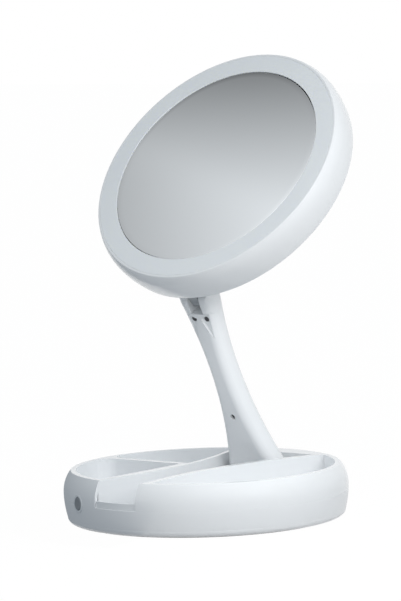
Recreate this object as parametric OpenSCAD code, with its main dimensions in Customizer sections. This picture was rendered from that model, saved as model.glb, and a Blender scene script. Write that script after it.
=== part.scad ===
// Lighted folding makeup mirror: a round tray base, a folding arm and a round lighted head.
// Sizes in millimetres, +Z up. The origin is the centre of the ring that the base rests on.
// -Y is the front. The mirror is drawn open, as it stands in use.

/* [Base] */
// Widest radius of the round base
base_r = 90; // [87:0.5:93]
// Height of the rim above the table
base_h = 33.4; // [32.5:0.1:35]
// Height of the widest point of the side
base_wide_z = 20; // [19:0.5:21]
// Radius of the side's curve above the widest point
base_upper_curve = 21; // [20:0.5:24]
// Radius of the side's curve below the widest point
base_lower_curve = 60; // [45:1:80]
// Radius of the corner under the side
base_corner = 4; // [3:0.5:5]
// Height of the parting line between the two shells
base_split_z = 16.7; // [16.4:0.1:17]
// Thickness of the side walls
base_wall = 2.4; // [2:0.1:2.8]
// Thickness of the bottom plate
base_floor = 2; // [1.6:0.1:2.4]
// Height of the bottom plate above the table
base_lift = 0.6; // [0.4:0.1:0.8]
// Distance of the rubber foot ring inside the base's widest radius
foot_ring_inset = 9.3; // [9:0.1:12]
// Width of the rubber foot ring
foot_ring_w = 3; // [2:0.1:3.4]
// Depth of the groove that holds the foot ring
foot_groove = 1; // [0.8:0.1:1.2]

/* [Tray] */
// Width of the rim round the compartments
rim_w = 8.2; // [7.6:0.1:10]
// Height of the compartments' floor above the table
tray_z = 18.8; // [18.8:0.1:20]
// Thickness of the compartments' floor and walls
tray_wall = 1.6; // [1.2:0.1:1.8]
// Thickness of the ridge between the channel and the right compartment
right_ridge = 4.3; // [4:0.1:5]
// Thickness of the ridge between the channel and the rear left compartment
left_ridge = 3; // [2.6:0.1:3.4]
// Distance of the front left compartment from the middle
left_pocket_x = 19; // [18.5:0.1:21]
// Place of the divider between the two left compartments
divider_y = 0.4; // [-2:0.1:3]
// Thickness of the divider
divider_t = 4.6; // [4:0.1:6]
// Clearance between the folded arm and the channel
channel_gap = 2.9; // [2.7:0.1:3.1]
// Height of the lip in the front notch
lip_z = 21; // [20:0.1:22]
// Thickness of the lip
lip_t = 1.5; // [1.2:0.1:1.8]
// Depth of the lip behind the side's widest radius
lip_recess = 0.7; // [0.5:0.1:1]

/* [Arm] */
// Distance of the base hinge inside the base's widest radius
hinge_inset = 33.7; // [33:0.1:34.5]
// Height of the base's rim above the base hinge
hinge_below_rim = 13.1; // [12.6:0.1:13.4]
// Lean of the arm towards the front, in degrees
arm_lean = 25; // [15:1:30]
// Half of the arm's depth from front to back
arm_half_depth = 7.8; // [7.4:0.1:8]
// Half of the arm's width at its waist
arm_waist_half_w = 8.5; // [8.2:0.1:9]
// Distance of the waist below the head's pivot
waist_below = 49.5; // [47:0.5:52]
// Radius of the flanks above the waist
arm_upper_curve = 240; // [228:1:252]
// Half of the width that the flanks spread to at the base hinge
arm_flare_half_w = 23.5; // [22.8:0.1:24.4]
// Half of the arm's width at the fork
arm_fork_half_w = 13.4; // [13:0.1:13.8]
// Half of the width of the foot between the brackets
foot_half_w = 16; // [15.5:0.1:16.4]
// Length of the narrow foot above the hinge
foot_neck_t = 11; // [10:0.5:11.5]
// Rounding of the arm's front edges
arm_front_round = 6; // [5.4:0.1:6.6]
// Rounding of the arm's back edges
arm_back_round = 6.4; // [5.6:0.1:7]
// Wall of the arm's shell
arm_wall = 1.8; // [1.6:0.1:2.1]
// Thickness of the front cover
cover_t = 3.2; // [3:0.1:3.4]
// Depth of the two tapering recesses at the neck
neck_recess = 1.6; // [1.3:0.1:1.8]
// Distance of the cover's top from the head's pivot
cover_top = 8; // [7.6:0.1:8.2]
// Distance of the cover's bottom from the base hinge
cover_bottom_t = 12; // [11.5:0.5:13]
// Distance of the upper screws below the head's pivot
upper_screw_below = 12.3; // [11.9:0.1:12.8]
// Distance of each upper screw from the arm's middle
upper_screw_x = 5; // [4.8:0.1:5.2]
// Distance of the lower screw from the base hinge
lower_screw_t = 48; // [44:1:52]

/* [Head] */
// Backward tilt of the head, in degrees
head_tilt = 39.6; // [30:0.1:45]
// Thickness of the head
head_t = 24.3; // [23.5:0.1:25]
// Amount by which the head's widest radius is smaller than the base's
head_less = 1.2; // [0:0.1:2.5]
// Distance of the widest point behind the face
head_wide_t = 8.6; // [8:0.1:9]
// Radius of the side's curve in front of the widest point
head_front_curve = 17.6; // [17:0.1:20]
// Radius of the side's curve behind the widest point
head_back_curve = 49; // [44:1:55]
// Radius of the corner at the back
head_corner = 2.4; // [2:0.1:3]
// Wall of the head's shell
head_wall = 2.2; // [2:0.1:2.5]
// Width of the shell's edge round the frosted ring
head_lip = 1.4; // [1.2:0.1:1.8]
// Width of the frosted ring
ring_w = 12.1; // [11.2:0.1:14.5]
// Thickness of the mirror
mirror_t = 2; // [1.6:0.1:2.2]
// Depth of the mirror below the frosted ring
mirror_inset = 0.4; // [0.2:0.1:0.6]
// Thickness of the foam behind the mirror
pad_t = 0.6; // [0.4:0.1:0.8]
// Thickness of the mirror's carrier
carrier_t = 2.2; // [1.8:0.1:2.6]
// Thickness of the frosted ring's face
diffuser_t = 1.8; // [1.4:0.1:2]
// Depth of the lamp board below the face
led_depth = 9; // [8.5:0.1:9.5]
// Number of lamps round the mirror
led_count = 36; // [24:2:40]
// Gap between the closed head and the rim
closed_gap = 0.6; // [0.4:0.1:1]

/* [Head pivot] */
// Distance of the pivot inside the head's widest radius
pivot_inset = 13.1; // [12.8:0.1:14]
// Half of the fork's slot
slot_half_w = 4.75; // [4.6:0.05:5]
// Depth of the slot below the pivot
slot_depth = 8.1; // [7.9:0.1:8.6]
// Half of the width of the tongue between the ears
lug_half_w = 3.7; // [3.5:0.1:3.8]
// Radius of the tongue's rounded end
lug_r = 5.7; // [5.2:0.1:6]
// Radius of the pivot pin
pin_r = 2.2; // [1.8:0.1:2.4]
// Reach of the pin into the right ear
pin_reach = 11; // [10:0.5:12]
// Radius of the cap over the pin's left end
cap_r = 3.6; // [3.2:0.1:4]

/* [Base hinge] */
// Radius of the hinge axle and of the hollow sleeve
axle_r = 3; // [2.6:0.1:3.2]
// Radius of the hole through the sleeve
sleeve_bore_r = 1.7; // [1.5:0.1:1.8]
// Radius of the bushes in the arm's foot
bush_r = 4.2; // [4:0.1:4.6]
// Length of the bushes
bush_len = 6; // [5:0.5:6.5]
// Radius of the brackets' rounded top
bracket_r = 7; // [6.4:0.1:7.2]
// Thickness of the friction washers
washer_t = 0.5; // [0.4:0.1:0.6]

/* [Button] */
// Angle of the button to the left of the front, in degrees
button_angle = 23; // [22:0.5:26]
// Height of the button's middle above the table
button_z = 17.5; // [17:0.1:18]
// Radius of the button
button_r = 4; // [3.6:0.1:4.2]
// Outer radius of the button's bezel
bezel_r = 5.6; // [5.4:0.1:6]
// Travel of the button
button_travel = 1; // [0.8:0.1:1]

/* [Battery] */
// Radius of a cell
cell_r = 7; // [6.8:0.05:7]
// Length of a cell
cell_len = 50.5; // [49:0.5:51]
// Distance of the inner cells inside the base's widest radius
cell_inset = 48.8; // [48:0.1:49]
// Distance between the two cells of a pair
cell_pitch = 15; // [14.6:0.1:15.2]
// Distance of the cells' middle behind the middle of the base
cell_y = -1.3; // [-3:0.1:1]

/* [Fits] */
// Running clearance round a pin or axle
run_gap = 0.05; // [0.03:0.01:0.08]
// Clearance between parts that are fitted together
fit_gap = 0.3; // [0.2:0.05:0.4]
// Clearance round a screw's thread
thread_gap = 0.05; // [0.02:0.01:0.1]

/* [Hidden] */

$fn = 48;
round_fn = 180;
flank_fn = 360;
lead_sides = 12;
far = 120;
cut = 1;

white = "white";
plastic = "whitesmoke";
steel = "silver";
board_green = "darkgreen";
rubber = "dimgray";
lead_grey = "gray";

// Radii and lengths that follow the base's widest radius
head_r = base_r - head_less;
hinge_y = base_r - hinge_inset;
hinge_z = base_h - hinge_below_rim;
arm_len = hinge_y + head_r - pivot_inset;
arm_waist_t = arm_len - waist_below;
arm_flare = arm_flare_half_w - arm_waist_half_w;
arm_lower_curve = (pow(arm_waist_t, 2) + pow(arm_flare, 2)) / (2 * arm_flare);
pocket_r = base_r - rim_w;
foot_ring_r = base_r - foot_ring_inset;
cell_x = base_r - cell_inset;

// Heights in the base
floor_top = base_lift + base_floor;
tray_under = tray_z - tray_wall;
channel_z = hinge_z - arm_half_depth - cut;
channel_under = channel_z - tray_wall;
waist_y = hinge_y - arm_waist_t;
channel_rear = hinge_y + arm_half_depth + 5.4;
notch_half_w = arm_fork_half_w + channel_gap;
lip_outer_r = base_r - lip_recess;
lip_inner_r = lip_outer_r - lip_t;
lip_root = 1.5;
liner_end_r = min(lip_inner_r, base_side_r(channel_under, base_wall)) - fit_gap;
corner_step = 0.05;
corner_centre_r = base_side_r(base_lift + base_corner) - base_corner - corner_step;
top_inner_z = base_h - base_wall;

// Screws that join the two base shells
base_screw_inset = 22.1;
base_screw_r = base_r - base_screw_inset;
base_screw_xy = base_screw_r * sin(45);
post_r = 3.2;
post_top = 9;
screw_r = 1.3;
screw_head_r = 2.4;
screw_head_t = 1.4;
screw_sink = 0.4;
screw_bite = 6;

// Battery boxes and doors
cell_z = floor_top + fit_gap + cell_r;
box_x = cell_x + cell_pitch / 2;
box_half_w = cell_pitch / 2 + cell_r + 1.1;
contact_t = 0.5;
nub_t = 1.2;
nub_r = 2.6;
spring_t = 3.4;
spring_r = 4.6;
box_half_l = (cell_len + nub_t + spring_t) / 2 + contact_t * 2;
box_wall = 1.4;
box_top = tray_under - fit_gap;
door_rib_t = 1.2;
door_rib_h = cell_z - cell_r - floor_top - 0.1;
door_grooves = 4;
door_groove_pitch = 2.4;

// Button, switch and board, in a frame that looks out along the button's axis
bezel_face = base_r + 0.2;
button_face = base_r + 0.5;
wall_inside = base_r - base_wall;
flange_t = 1;
flange_r = button_r + 0.7;
flange_face = wall_inside - fit_gap;
button_back = flange_face - flange_t;
plunger_tip = button_back - button_travel - 0.1;
switch_side = 7;
switch_z0 = 7.6;
plunger_r = 1.2;
plunger_z = button_z - 2.4;
switch_top = plunger_z + plunger_r + 0.2;
board_t = 1.6;
board_z = switch_z0 - board_t;
board_wall_gap = 4.9;
board_outer_r = base_side_r(board_z, base_wall) - board_wall_gap;
board_depth = 22;
board_left = base_screw_r * sin(45 - button_angle) - post_r - fit_gap;
board_right = 7;

// Power socket at the back
inlet_w = 8;
inlet_h = 3;
inlet_len = 8;
inlet_shell_t = 0.4;
inlet_z = 9;
inlet_y = base_r - base_wall - 0.6;
inlet_wall_r = base_r + cut;
inlet_board_w = 14;
inlet_board_len = 12;
inlet_overhang = 3;

// Base hinge
lead_r = 1;
lead_hole_r = lead_r + fit_gap;
bracket_in = foot_half_w + fit_gap + washer_t;
bracket_out = channel_half(hinge_y - bracket_r) - fit_gap;
axle_in = 9;
foot_room_half_w = 8.5;
bracket_screw_r = 1;
bracket_screw_head_r = 1.8;
bracket_screw_head_t = 1.2;
bracket_screw_bite = 5;
bracket_screw_dy = 4;
bracket_mid = (bracket_in + bracket_out) / 2;

// Arm
neck_below = 20;
neck_t = arm_len - neck_below;
upper_screw_t = arm_len - upper_screw_below;
arm_top_t = arm_len - cover_top;
hollow_bottom_t = cover_bottom_t + 1;
cover_gap = 0.15;
cover_face = -arm_half_depth;
cover_back = -arm_half_depth + cover_t;
arm_screw_head_r = 1.75;
arm_screw_head_t = 1;
arm_screw_sink = 1.7;
arm_screw_r = 1;
arm_screw_bite = 5;
arm_post_r = 3;
duct_r = 1.5;
arm_lead_x = 5.2;
arm_lead_r = 0.9;
arm_lead_straight = 6;
arm_lead_bend = 8;
recess_inner_x = 1.4;
recess_outer_x = 8.9;
recess_tip_x = 6.7;
recess_inner_below = 11.4;
recess_outer_below = 7.9;
recess_tip_below = 26.4;

// Head pivot and the head's place on it
pin_left = arm_fork_half_w - 2.4;
cap_t = 1.4;
ear_washer_t = slot_half_w - lug_half_w - fit_gap;
ear_washer_r = lug_r - 0.6;
pivot_back = base_h + closed_gap - hinge_z;
pivot_behind = pivot_back + head_t;
pivot_below = arm_len - hinge_y;

// Lug on the head's back
flange_depth = 2.4;
flange_half_x = 11;
lug_plate_drop = 4.4;
lug_plate_rise = 18;
lug_plate_bottom = -pivot_below - lug_plate_drop;
lug_plate_top = -pivot_below + lug_plate_rise;
lug_screw_x = 7.6;
lug_screw_low = lug_plate_bottom + 3.6;
lug_screw_high = lug_plate_top - 3.4;
lug_screw_r = 1;
lug_screw_head_r = 1.9;
lug_screw_head_t = 1.2;
lug_duct_r = 1.4;
lug_hole_over = 0.2;
lug_neck_less = 0.6;
lug_neck_bite = flange_depth / 2;

// Layers of the head, measured back from the face
back_inside = head_t - head_wall;
mirror_back = mirror_inset + mirror_t;
carrier_face = mirror_back + pad_t;
carrier_back = carrier_face + carrier_t;
face_r = head_r - head_front_curve + sqrt(pow(head_front_curve, 2) - pow(head_wide_t, 2));
ring_outer = face_r - head_lip - fit_gap / 2;
ring_inner = ring_outer - ring_w;
mirror_r = ring_inner - fit_gap;
ring_skirt = 1.4;
led_t = 0.9;
led_w = 3.5;
led_h = 2.8;
led_board_outer = ring_outer;
led_board_inner = ring_inner + 0.4;
led_board_t = 1.6;
led_board_back = led_depth + led_board_t;
led_mid_r = (led_board_outer + led_board_inner) / 2;
ledge_w = 1.4;
inside_r = ring_outer - ledge_w;
rib_r = led_board_inner + 2.4;
rib_t = 1.4;
rib_notch_w = 6;
rib_notch_h = 6;
carrier_post_r = 3.2;
carrier_screw_inset = 6.6;
carrier_screw_r = mirror_r - carrier_screw_inset;
carrier_screws = 6;
head_screw_r = 1.3;
head_screw_head_r = 2.3;
head_screw_head_t = 1;
head_screw_sink = 0.4;
head_screw_bite = 8;
carrier_rim = 1.2;

// Half of the channel's width at a place along Y, behind the waist
function channel_half(y) =
    arm_waist_half_w + arm_lower_curve
    - sqrt(pow(arm_lower_curve - channel_gap, 2) - pow(y - waist_y, 2));

// Radius of the base's side, less an inset, at a height below its widest point
function base_side_r(z, inset = 0) =
    base_r - base_lower_curve + sqrt(pow(base_lower_curve - inset, 2) - pow(base_wide_z - z, 2));

// Frames

module in_arm() {
    translate([0, hinge_y, hinge_z]) rotate([arm_lean, 0, 0]) children();
}

module in_head() {
    in_arm() translate([0, 0, arm_len]) rotate([90 - head_tilt - arm_lean, 0, 0])
        translate([0, pivot_below, pivot_behind]) children();
}

// The button's frame: X runs out through the wall and the origin is on the base's axis
module in_button() {
    rotate([0, 0, -90 - button_angle]) translate([0, 0, button_z]) children();
}

// A solid between two distances x0 and x1 along X
module along_x(x0, x1, r) {
    translate([x0, 0, 0]) rotate([0, 90, 0]) cylinder(h = x1 - x0, r = r);
}

// A solid between two distances y0 and y1 along Y
module along_y(y0, y1, r) {
    translate([0, y0, 0]) rotate([-90, 0, 0]) cylinder(h = y1 - y0, r = r);
}

module both_sides() {
    for (side = [-1, 1]) scale([side, 1, 1]) children();
}

// A point moved along a direction until it lies on the plane through at
function slid(point, along, at, plane) = point + along * (((at - point) * plane) / (along * plane));

function direction(from, to) = (to - from) / norm(to - from);

// The rings of a mitred tube, each one slid along its stretch from the ring before it
function tube_rings(points, ring, i = 1) =
    let (
        along = direction(points[i - 1], points[i]),
        last = i == len(points) - 1,
        plane = last ? along : along + direction(points[i], points[i + 1]),
        next = [for (p = ring) slid(p, along, points[i], plane)]
    )
    last ? [ring, next] : concat([ring], tube_rings(points, next, i + 1));

// A lead of radius r through points, as one tube with mitred bends
module lead(points, r) {
    along = direction(points[0], points[1]);
    side = abs(along.x) > 0.9 ? cross(along, [0, 1, 0]) : cross(along, [1, 0, 0]);
    across = side / norm(side);
    up = cross(along, across);
    first = [for (k = [0 : lead_sides - 1])
        points[0] + r * (across * cos(360 * k / lead_sides) + up * sin(360 * k / lead_sides))];
    rings = tube_rings(points, first);
    polyhedron(
        points = [for (ring = rings) each ring],
        faces = concat(
            [[for (k = [0 : lead_sides - 1]) k]],
            [for (i = [1 : len(rings) - 1], k = [0 : lead_sides - 1]) let (
                a = (i - 1) * lead_sides + k, b = (i - 1) * lead_sides + (k + 1) % lead_sides
            ) [b, a, a + lead_sides, b + lead_sides]],
            [[for (k = [lead_sides - 1 : -1 : 0]) (len(rings) - 1) * lead_sides + k]]
        )
    );
}

// Base outlines, from the axis outwards

module base_profile(inset, z_low, z_high) {
    intersection() {
        union() {
            translate([0, 0]) square([base_r - base_upper_curve, base_h]);
            intersection() {
                translate([base_r - base_upper_curve, base_wide_z])
                    circle(base_upper_curve - inset, $fn = round_fn);
                translate([0, base_wide_z]) square([far, base_h]);
            }
            intersection() {
                translate([base_r - base_lower_curve, base_wide_z])
                    circle(base_lower_curve - inset, $fn = round_fn);
                union() {
                    translate([0, base_lift + base_corner]) square([far, base_wide_z - base_lift - base_corner]);
                    translate([0, base_lift]) square([corner_centre_r, base_corner]);
                }
            }
            intersection() {
                translate([corner_centre_r, base_lift + base_corner]) circle(base_corner - inset);
                translate([0, base_lift]) square([far, base_corner]);
            }
        }
        translate([0, z_low]) square([far, z_high - z_low]);
    }
}

module base_solid(inset, z_low, z_high) {
    rotate_extrude($fn = round_fn) base_profile(inset, z_low, z_high);
}

// The plan of the arm's channel, grown outwards by grow
module channel_plan(grow) {
    front_half_w = notch_half_w + grow;
    difference() {
        translate([-front_half_w, -far]) square([2 * front_half_w, far + waist_y]);
        both_sides() translate([arm_waist_half_w + arm_upper_curve, waist_y])
            circle(arm_upper_curve - channel_gap - grow, $fn = flank_fn);
    }
    difference() {
        translate([-far / 2, waist_y]) square([far, channel_rear + grow - waist_y]);
        both_sides() translate([arm_waist_half_w + arm_lower_curve, waist_y])
            circle(arm_lower_curve - channel_gap - grow, $fn = flank_fn);
    }
}

// What lies to the right of the channel, past a ridge
module beside_channel(ridge) {
    intersection() {
        translate([arm_waist_half_w + arm_upper_curve, waist_y])
            circle(arm_upper_curve - channel_gap - ridge, $fn = flank_fn);
        translate([0, -far]) square([far, far + waist_y]);
    }
    intersection() {
        translate([arm_waist_half_w + arm_lower_curve, waist_y])
            circle(arm_lower_curve - channel_gap - ridge, $fn = flank_fn);
        translate([0, waist_y]) square([far, far]);
    }
}

module right_pocket(grow) {
    intersection() {
        circle(pocket_r + grow, $fn = round_fn);
        beside_channel(right_ridge - grow);
    }
}

module front_left_pocket(grow) {
    intersection() {
        circle(pocket_r + grow, $fn = round_fn);
        translate([-far, -far])
            square([far - left_pocket_x + grow, far + divider_y - divider_t / 2 + grow]);
    }
}

module rear_left_pocket(grow) {
    intersection() {
        circle(pocket_r + grow, $fn = round_fn);
        scale([-1, 1, 1]) beside_channel(left_ridge - grow);
        translate([-far, divider_y + divider_t / 2 - grow]) square([far, far]);
    }
}

module pockets(grow) {
    right_pocket(grow);
    front_left_pocket(grow);
    rear_left_pocket(grow);
}

module base_screw_places() {
    for (x = [-1, 1], y = [-1, 1]) translate([x * base_screw_xy, y * base_screw_xy, 0]) children();
}

// The bore and the inside clearance for the button and its bezel, through both shells
module button_bore() {
    in_button() {
        along_x(pocket_r + tray_wall, base_r + 4, bezel_r + 0.02);
    }
}

module inlet_opening() {
    translate([-inlet_w / 2 - fit_gap, inlet_y - inlet_len, inlet_z - inlet_h / 2 - fit_gap])
        cube([inlet_w + 2 * fit_gap, inlet_len + far, inlet_h + 2 * fit_gap]);
}

// Base pieces

module base_top() {
    color(white) difference() {
        intersection() {
            base_solid(0, base_lift, base_h);
            union() {
                difference() {
                    base_solid(0, base_split_z, base_h);
                    base_solid(base_wall, base_lift, top_inner_z);
                }
                translate([0, 0, tray_under]) linear_extrude(base_h - tray_under) pockets(tray_wall);
                intersection() {
                    translate([0, 0, channel_under]) linear_extrude(base_h - channel_under)
                        channel_plan(tray_wall);
                    cylinder(h = far, r = liner_end_r, $fn = round_fn);
                }
                base_screw_places() translate([0, 0, post_top]) cylinder(h = tray_z - post_top, r = post_r);
            }
        }
        translate([0, 0, tray_z]) linear_extrude(far) pockets(0);
        translate([0, 0, channel_z]) linear_extrude(far) channel_plan(0);
        button_bore();
        base_screw_places() translate([0, 0, post_top - cut])
            cylinder(h = screw_bite + cut, r = screw_r + thread_gap);
        both_sides() for (dy = [-1, 1])
            translate([bracket_mid, hinge_y + dy * bracket_screw_dy, channel_under - cut])
                cylinder(h = far / 10, r = bracket_screw_r + thread_gap);
        translate([lead_x, hinge_y, channel_under - cut]) cylinder(h = far / 10, r = lead_hole_r);
    }
}

module battery_box() {
    translate([box_x - box_half_w - box_wall, cell_y - box_half_l - box_wall, floor_top])
        difference() {
            cube([2 * (box_half_w + box_wall), 2 * (box_half_l + box_wall), box_top - floor_top]);
            translate([box_wall, box_wall, -cut])
                cube([2 * box_half_w, 2 * box_half_l, far]);
        }
}

module base_bottom() {
    color(plastic) difference() {
        union() {
            difference() {
                base_solid(0, base_lift, base_split_z);
                base_solid(base_wall, floor_top, base_split_z + cut);
            }
            both_sides() battery_box();
            base_screw_places() translate([0, 0, base_lift])
                cylinder(h = post_top - base_lift, r = post_r);
            intersection() {
                difference() {
                    cylinder(h = lip_z, r = lip_outer_r, $fn = round_fn);
                    translate([0, 0, -cut]) cylinder(h = far, r = lip_inner_r, $fn = round_fn);
                }
                translate([-notch_half_w + fit_gap, -far, base_split_z - lip_root])
                    cube([2 * (notch_half_w - fit_gap), far, far]);
            }
            in_button() for (place = board_posts) translate([place.x, place.y, floor_top - button_z])
                cylinder(h = board_z - floor_top, r = 2);
            both_sides() translate([inlet_board_w / 2 - 2, inlet_y - inlet_overhang - inlet_board_len / 2, floor_top])
                cylinder(h = inlet_board_z - floor_top, r = 2);
        }
        both_sides() translate([box_x - box_half_w, cell_y - box_half_l, -cut])
            cube([2 * box_half_w, 2 * box_half_l, floor_top + 2 * cut]);
        translate([0, 0, -cut]) difference() {
            cylinder(h = cut + base_lift + foot_groove, r = foot_ring_r + foot_ring_w / 2 + 0.1,
                $fn = round_fn);
            cylinder(h = far, r = foot_ring_r - foot_ring_w / 2 - 0.1, $fn = round_fn);
        }
        button_bore();
        inlet_opening();
        base_screw_places() {
            translate([0, 0, -cut]) cylinder(h = cut + base_lift + screw_sink + screw_head_t,
                r = screw_head_r + fit_gap);
            cylinder(h = far, r = screw_r + fit_gap);
        }
    }
}

module foot_ring() {
    color(rubber) difference() {
        cylinder(h = base_lift + foot_groove, r = foot_ring_r + foot_ring_w / 2, $fn = round_fn);
        translate([0, 0, -cut])
            cylinder(h = far, r = foot_ring_r - foot_ring_w / 2, $fn = round_fn);
    }
}

module cell_places() {
    both_sides() for (i = [0, 1])
        translate([cell_x + i * cell_pitch, cell_y, cell_z]) rotate([0, 0, 180 * i]) children();
}

// The length that a cell takes up from its spring plate to its nub plate is centred in the box
spring_plate_y = -box_half_l;
cell_start = spring_plate_y + contact_t + spring_t;

module battery_cells() {
    color("goldenrod") cell_places() {
        along_y(cell_start, cell_start + cell_len, cell_r);
        along_y(cell_start + cell_len, cell_start + cell_len + nub_t, nub_r);
    }
}

module battery_springs() {
    color(steel) cell_places() translate([0, spring_plate_y + contact_t, 0]) rotate([-90, 0, 0])
        cylinder(h = spring_t, r1 = spring_r, r2 = spring_r - 1.6);
}

module battery_contacts() {
    color(steel) cell_places() {
        translate([-cell_r + 1, spring_plate_y, -cell_r + 1])
            cube([2 * cell_r - 2, contact_t, 2 * cell_r - 2]);
        translate([-cell_r + 1, box_half_l - contact_t, -cell_r + 1])
            cube([2 * cell_r - 2, contact_t, 2 * cell_r - 2]);
    }
}

board_posts = [
    [board_outer_r - 4, -board_left + 4], [board_outer_r - board_depth + 4, -board_left + 4],
    [board_outer_r - board_depth + 4, board_right - 4]
];

module control_board() {
    color(board_green) in_button()
        translate([board_outer_r - board_depth, -board_left, board_z - button_z])
            cube([board_depth, board_left + board_right, board_t]);
}

module switch_module() {
    color("black") in_button() {
        translate([plunger_tip - 1 - switch_side, -switch_side / 2, switch_z0 - button_z])
            cube([switch_side, switch_side, switch_top - switch_z0]);
        translate([0, 0, plunger_z - button_z])
            along_x(plunger_tip - 1 - switch_side / 2, plunger_tip, plunger_r);
    }
}

module button_bezel() {
    color(plastic) in_button() difference() {
        along_x(wall_inside, bezel_face, bezel_r);
        along_x(0, far, button_r + 0.15);
    }
}

module power_button() {
    color(rubber) in_button() {
        along_x(flange_face - flange_t / 2, button_face, button_r);
        along_x(button_back, flange_face, flange_r);
    }
}

inlet_board_z = inlet_z - inlet_h / 2 - board_t;

module power_inlet() {
    color(steel) translate([-inlet_w / 2, inlet_y - inlet_len, inlet_z - inlet_h / 2]) difference() {
        cube([inlet_w, inlet_len, inlet_h]);
        translate([inlet_shell_t, inlet_shell_t * 2, inlet_shell_t])
            cube([inlet_w - 2 * inlet_shell_t, inlet_len, inlet_h - 2 * inlet_shell_t]);
    }
    color("black") translate([-inlet_w / 4, inlet_y - inlet_len + 2 * inlet_shell_t, inlet_z - 0.4])
        cube([inlet_w / 2, inlet_len - 2, 0.8]);
}

module inlet_board() {
    color(board_green) translate([-inlet_board_w / 2, inlet_y - inlet_board_len - inlet_overhang, inlet_board_z])
        cube([inlet_board_w, inlet_board_len, board_t]);
}

lead_x = (bracket_out + channel_half(hinge_y)) / 2;
lead_low_z = (floor_top + channel_under) / 2;
lead_board_x = -12;
lead_board_inset = 32;
lead_board_y = lead_board_inset - base_r;
lead_turn_x = 4;
lead_turn_run = 14;
lead_turn_y = lead_board_y + lead_turn_run;
lead_rear_x = 6;
lead_rear_run = 18.3;
lead_rear_y = hinge_y - lead_rear_run;

module base_lead() {
    color(lead_grey) {
        lead([
            [lead_board_x, lead_board_y, lead_low_z], [lead_turn_x, lead_turn_y, lead_low_z],
            [lead_rear_x, lead_rear_y, lead_low_z], [lead_x, hinge_y, lead_low_z],
            [lead_x, hinge_y, hinge_z], [axle_in + 1, hinge_y, hinge_z]
        ], lead_r);
    }
}

module base_screws() {
    color(steel) base_screw_places() {
        translate([0, 0, base_lift + screw_sink]) cylinder(h = screw_head_t, r = screw_head_r);
        translate([0, 0, base_lift + screw_sink])
            cylinder(h = post_top + screw_bite - 0.5 - base_lift - screw_sink, r = screw_r);
    }
}

module hinge_bracket(side) {
    scale([side, 1, 1]) difference() {
        translate([0, hinge_y, hinge_z]) union() {
            along_x(bracket_in, bracket_out, bracket_r);
            translate([bracket_in, -bracket_r, channel_z - hinge_z])
                cube([bracket_out - bracket_in, 2 * bracket_r, hinge_z - channel_z]);
        }
        translate([0, hinge_y, hinge_z]) along_x(0, far, axle_r + 0.01);
        for (dy = [-1, 1]) translate([bracket_mid, hinge_y + dy * bracket_screw_dy, channel_z - cut])
            cylinder(h = bracket_screw_bite + cut, r = bracket_screw_r + thread_gap);
    }
}

module hinge_bracket_left() {
    color(steel) hinge_bracket(-1);
}

module hinge_bracket_right() {
    color(steel) hinge_bracket(1);
}

module bracket_screws() {
    color(steel) both_sides() for (dy = [-1, 1])
        translate([bracket_mid, hinge_y + dy * bracket_screw_dy, 0]) {
            translate([0, 0, channel_under - bracket_screw_head_t])
                cylinder(h = bracket_screw_head_t, r = bracket_screw_head_r);
            translate([0, 0, channel_under - bracket_screw_head_t])
                cylinder(h = bracket_screw_head_t + tray_wall + bracket_screw_bite - 0.5,
                    r = bracket_screw_r);
        }
}

module hinge_axle_left() {
    color(steel) translate([0, hinge_y, hinge_z]) along_x(-bracket_out, -axle_in, axle_r);
}

module hinge_sleeve_right() {
    color(steel) translate([0, hinge_y, hinge_z]) difference() {
        along_x(axle_in, bracket_out, axle_r);
        along_x(0, far, sleeve_bore_r);
    }
}

module friction_washers() {
    color(steel) both_sides() translate([0, hinge_y, hinge_z]) difference() {
        along_x(bracket_in - washer_t, bracket_in, bracket_r - 1);
        along_x(0, far, axle_r + run_gap);
    }
}

module battery_door(side) {
    scale([side, 1, 1]) difference() {
        union() {
            translate([box_x - box_half_w + fit_gap, cell_y - box_half_l + fit_gap, base_lift])
                cube([2 * (box_half_w - fit_gap), 2 * (box_half_l - fit_gap), base_floor]);
            for (y = [-1, 1]) translate([box_x - box_half_w / 2, cell_y + y * box_half_l / 2, floor_top])
                cube([box_half_w, door_rib_t, door_rib_h]);
        }
        for (i = [0 : door_grooves - 1])
            translate([box_x - box_half_w / 3, cell_y - box_half_l + 5 + i * door_groove_pitch, 0])
                cube([box_half_w * 2 / 3, 1, base_lift + 0.6]);
    }
}

module battery_door_left() {
    color(plastic) battery_door(-1);
}

module battery_door_right() {
    color(plastic) battery_door(1);
}

// Arm outlines. In the arm's frame Z runs from the base hinge to the head's pivot and -Y is its front.

module arm_profile(inset, half_w) {
    depth = arm_half_depth - inset;
    wide = half_w - inset;
    front = max(arm_front_round - inset, 0.3);
    back = max(arm_back_round - inset, 0.3);
    translate([-wide, front - depth]) square([2 * wide, 2 * depth - front - back]);
    translate([front - wide, -depth]) square([2 * (wide - front), front]);
    translate([back - wide, depth - back]) square([2 * (wide - back), back]);
    both_sides() translate([wide - front, front - depth]) circle(front);
    both_sides() translate([wide - back, depth - back]) circle(back);
}

// Cuts one curved flank and leaves its edges rounded
module flank_cutter(curve, inset) {
    depth = arm_half_depth - inset;
    front = max(arm_front_round - inset, 0.3);
    back = max(arm_back_round - inset, 0.3);
    reach = curve + inset;
    rotate([-90, 0, 0]) rotate_extrude($fn = flank_fn) {
        translate([0, -depth - cut]) square([reach, 2 * (depth + cut)]);
        difference() {
            translate([reach - cut, depth - back]) square([back + cut, back + cut]);
            translate([reach + back, depth - back]) circle(back);
        }
        difference() {
            translate([reach - cut, -depth - cut]) square([front + cut, front + cut]);
            translate([reach + front, front - depth]) circle(front);
        }
    }
}

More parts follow.
